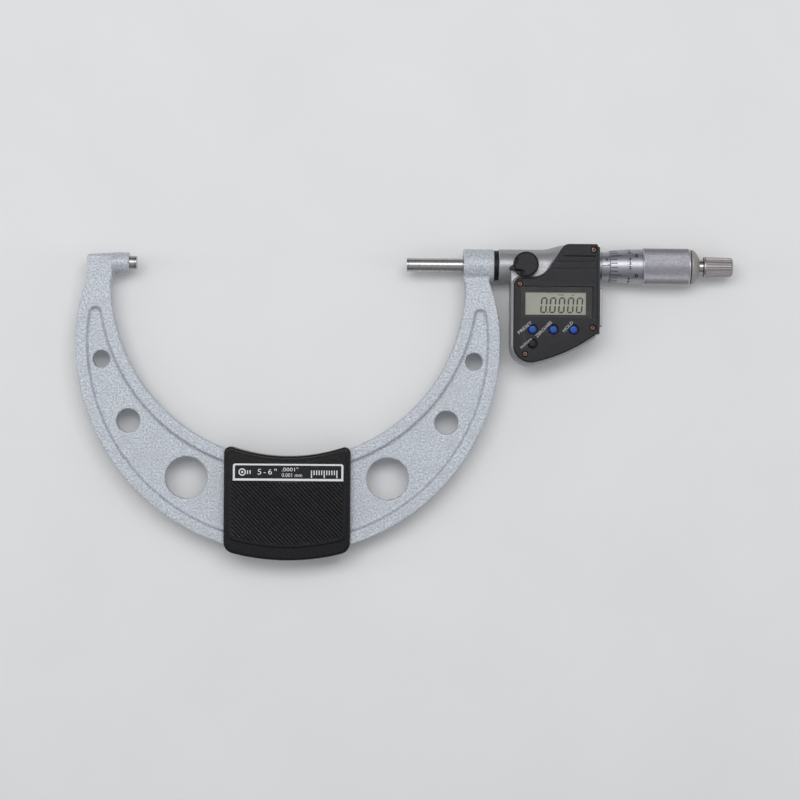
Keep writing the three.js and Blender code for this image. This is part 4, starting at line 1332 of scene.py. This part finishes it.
def thimble_radius(x):
    """The thimble's outer radius in front of the knurl."""
    along = x - THIMBLE_X0
    if along < CONE_LENGTH:
        return CONE_R0 + (CONE_R1 - CONE_R0) * along / CONE_LENGTH
    return CONE_R1 + 0.1 * min(1, (along - CONE_LENGTH) / 6)


def thimble():
    """The thimble's bevelled front and, as a piece of its own, its diamond knurl."""
    low, high = span("thimble")
    x0, x1, r = low.x, high.x, high.z
    columns, depth = KNURL_COLUMNS, KNURL_DEPTH
    knurl0, knurl1 = KNURL_X, x1 - 0.5
    front = [(x0, THIMBLE_BORE), (x0, 7.32), (x0 + 0.25, CONE_R0)]
    front += [(x0 + CONE_LENGTH, CONE_R1), (knurl0 - 0.5, 8.22)]
    front += [(knurl0 - 0.4, 8.0), (knurl0 + 0.4, 8.0), (knurl0 + 0.4, THIMBLE_BORE)]
    dress(revolve("thimble_front", front, width=0.05, closed=True), "thimble", sharp=30)

    count = round((knurl1 - knurl0) / (2 * math.pi * r / columns))
    rows = [(knurl0, THIMBLE_BORE), (knurl0, r - depth - 0.15)]
    for i in range(count + 1):
        x = knurl0 + 0.15 + (knurl1 - knurl0 - 0.15) * i / count
        edge = i in (0, count)
        first = len(rows)
        radii = [r - depth * (edge or (first + j) % 2 == 1) for j in range(columns)]
        rows.append((x, radii, True) if i < count else (x, radii))
    rows += [(x1 - 0.4, r - depth), (x1, r - 0.7), (x1, 3.1), (258.4, 3.1), (258.4, 3.75)]
    rows += [(256.5, 3.75), (256.5, THIMBLE_BORE)]
    knurl = drum("thimble_knurl", rows, columns, closed=True)
    dress(knurl, "thimble", material=KNURL, stands_for=False, sharp=24, flat=False)


def thimble_scale():
    """The thimble's numbered marks. Every fifth is longer."""
    x0 = span("thimble")[0].x
    marks, numbers = [], []
    for k in range(DIVISIONS):
        angle = INDEX_ANGLE + (k - READING) * 360 / DIVISIONS
        end = x0 + (5.3 if k % 5 == 0 else 3.5)
        ends = (7.52, thimble_radius(end))
        marks.append(barrel_mark(x0 + 0.28, end, angle, -THIMBLE_LINE / 2, THIMBLE_LINE / 2, *ends))
        x, height = (237.0, 1.95) if k % 5 == 0 else (234.0, 1.5)
        numbers.append(barrel_number(str(k), height, x, angle, thimble_radius, 1.1))
    scale = join("thimble_scale", [prisms("marks", marks), *numbers])
    print_on(scale, "thimble", SCALE_INK)


def end_cap():
    """The painted cap that closes the thimble, falling in a curve to the ratchet's neck."""
    low, high = span("thimble_end_cap")
    x0 = low.x
    profile = [(x0, 3.5), (x0, 8.15), (x0 + 0.95, 8.2), (x0 + 1.1, 8.0), (x0 + 1.6, 7.75)]
    profile += [(x0 + 2.2, 7.2), (x0 + 3.0, 6.2), (x0 + 3.6, 5.2), (high.x, 4.3), (high.x, 3.5)]
    dress(revolve("end_cap", profile, width=0.12, closed=True), "thimble_end_cap", sharp=30)


def spindle():
    """The measuring spindle with its keyway and carbide tip."""
    x0 = span("spindle")[0].x
    profile = [(x0 + 0.01, 0), (x0 + 0.01, FACE_R), (212, FACE_R), (212.4, 3), (214, 3), (214.4, 3.6)]
    profile += [(257.9, 3.6), (258.2, 3), (264, 3), (264, 1.6), (255, 1.6), (255, 0)]
    shaft = revolve("spindle_shaft", profile, width=0.06)
    cut(shaft, box_solid("keyway", 180, 210.2, 2.45, 4, -0.6, 0.6))
    dress(shaft, "spindle")
    low, high = span("spindle_carbide_tip")
    dress(rod("spindle_tip", FACE_R, low.x, high.x, width=0.12), "spindle_carbide_tip")


def ratchet():
    """Ratchet neck with its spanner hole, the fluted knob and the plug in its end."""
    low, high = span("ratchet_knob")
    x0, x1, r = low.x, high.x, high.z
    profile = [(257, 0), (257, 1.5), (264.4, 1.5), (264.4, 3.4), (x0 - 0.2, 3.4), (x0 - 0.2, 1.5)]
    profile += [(281.4, 1.5), (281.4, 0)]
    shaft = revolve("ratchet_neck", profile, width=0.12)
    hole = post("spanner_hole", 269, 0, 0.75, 1.7, 5, 32)
    cut(shaft, turn(hole, "X", -38))
    dress(shaft, "ratchet_shaft")

    flutes, per_flute = 26, 8
    columns = flutes * per_flute

    def fluted(radius, depth):
        cross = (0.0, 0.0, 0.0, 0.0, 0.1, 0.7, 1.0, 0.7)
        return [radius - depth * cross[i % per_flute] for i in range(columns)]

    end_r = r - 0.35
    rows = [(x0, 1.65), (x0, r - 0.35), (x0 + 0.1, r - 0.12), (x0 + 0.35, r), (x0 + 0.9, r)]
    rows += [(x0 + 1.1, fluted(r, 0.3)), (x1 - 1.2, fluted(end_r, 0.3))]
    rows += [(x1 - 0.7, fluted(end_r - 0.12, 0.18))]
    rows += [(x1 - 0.3, end_r - 0.35), (x1 - 0.05, end_r - 0.7), (x1, end_r - 1.0)]
    rows += [(x1, 3.5), (272.4, 3.5), (272.4, 1.65)]
    knob = drum("ratchet_knob_body", rows, columns, closed=True)
    dress(knob, "ratchet_knob", material=WARM_SATIN, sharp=30)
    plug = [(282, 0), (282, 3.45), (283.6, 3.45), (283.6, 2.6), (283.35, 2.4), (283.35, 0)]
    dress(revolve("ratchet_plug", plug, width=0.1), "ratchet_end_plug")


def seal():
    """The black ring between the bow's boss and the case's nose."""
    low, high = span("nose_seal_ring")
    body = ring("nose_seal", 5.3, 7.1, low.x, high.x, width=0.25)
    dress(body, "nose_seal_ring")


def finish_inner_nodes():
    """The CAD nodes that stay as they are get the material of their slot."""
    shown = set(SLOT_OF) - {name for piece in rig.table()["pieces"] for name in piece.get("replaces", [])}
    for name in shown:
        node = frame["nodes"][name]
        node.data.materials.clear()
        node.data.materials.append(FINISH[SLOT_OF[name]])


# ---- Floor, light and camera ------------------------------------------------------------------------


def floor():
    """A plain pale sheet that the tool lies on."""
    half = FLOOR_HALF
    corners = [(-half, -half), (half, -half), (half, half), (-half, half)]
    plane = make("floor", [(x, y, REST_Z) for x, y in corners], [(0, 1, 2, 3)])
    sheet = Surface("floor_sheet", rgb(240, 240, 240), 0.8)
    sheet.mottle(60, rgb(243, 243, 243), 0.3, 0.7, detail=3)
    sheet.grain(0.6, 3, 0.02, 0.3)
    plane.data.materials.append(sheet.material)
    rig.stage(plane)


def area_light(name, watts, size, at, towards, color=(1, 1, 1)):
    """A softbox of this width and height, facing a point."""
    data = bpy.data.lights.new(name, "AREA")
    data.shape = "RECTANGLE"
    data.size, data.size_y = size[0] * MM, size[1] * MM
    data.energy = watts
    data.color = color
    light = add(name, data)
    light.location = Vector(at) * MM
    direction = Vector(towards) * MM - light.location
    light.rotation_euler = direction.to_track_quat("-Z", "Y").to_euler()


def lights():
    """A softbox overhead, a strip on each side, and a sky that darkens towards the horizon."""
    middle_point = (110, -60, 0)
    area_light("key", 6.7, (1300, 460), (60, 330, 1150), middle_point)
    area_light("left_strip", 1.3, (160, 800), (-900, 0, 420), middle_point, (1, 0.98, 0.95))
    area_light("right_strip", 1.1, (160, 800), (1100, -100, 420), middle_point)
    world = bpy.data.worlds.new("studio")
    world.use_nodes = True
    tree = world.node_tree
    background = tree.nodes["Background"]
    coordinates = tree.nodes.new("ShaderNodeTexCoord")
    height = tree.nodes.new("ShaderNodeSeparateXYZ")
    fade = tree.nodes.new("ShaderNodeMapRange")
    fade.inputs["From Min"].default_value = 0.1
    fade.inputs["From Max"].default_value = 0.9
    fade.inputs["To Min"].default_value = 0.06
    fade.inputs["To Max"].default_value = 0.52
    tree.links.new(coordinates.outputs["Generated"], height.inputs["Vector"])
    tree.links.new(height.outputs["Z"], fade.inputs["Value"])
    tree.links.new(fade.outputs["Result"], background.inputs["Strength"])
    background.inputs["Color"].default_value = (0.95, 0.97, 1.0, 1)
    bpy.context.scene.world = world
    bpy.context.scene.view_settings.view_transform = "Standard"


def camera():
    """Looks almost straight down from 1.14 m."""
    data = bpy.data.cameras.new("camera")
    data.sensor_width = 36
    data.lens = CAMERA_LENS
    data.clip_start, data.clip_end = 0.05, 20
    matrix = Matrix.Translation(Vector(CAMERA_AT) * MM)
    for axis, angle in CAMERA_TURNS:
        matrix = matrix @ Matrix.Rotation(math.radians(angle), 4, axis)
    cam = add("camera", data)
    cam.matrix_world = matrix
    bpy.context.scene.camera = cam


camera()
bow()
anvil()
heat_shields()
range_label()
seal()
housing()
front_cover()
cover_details()
buttons()
clamp()
port()
battery_cap()
sleeve()
thimble()
thimble_scale()
end_cap()
spindle()
ratchet()
finish_inner_nodes()
floor()
lights()

boxes = {
    "cad": [[float(v) for v in corner] for corner in CAD_BOX],
    "visual": [[float(v) for v in corner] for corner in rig.bounds()],
}
with open("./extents.json", "w") as size_file:
    json.dump(boxes, size_file)
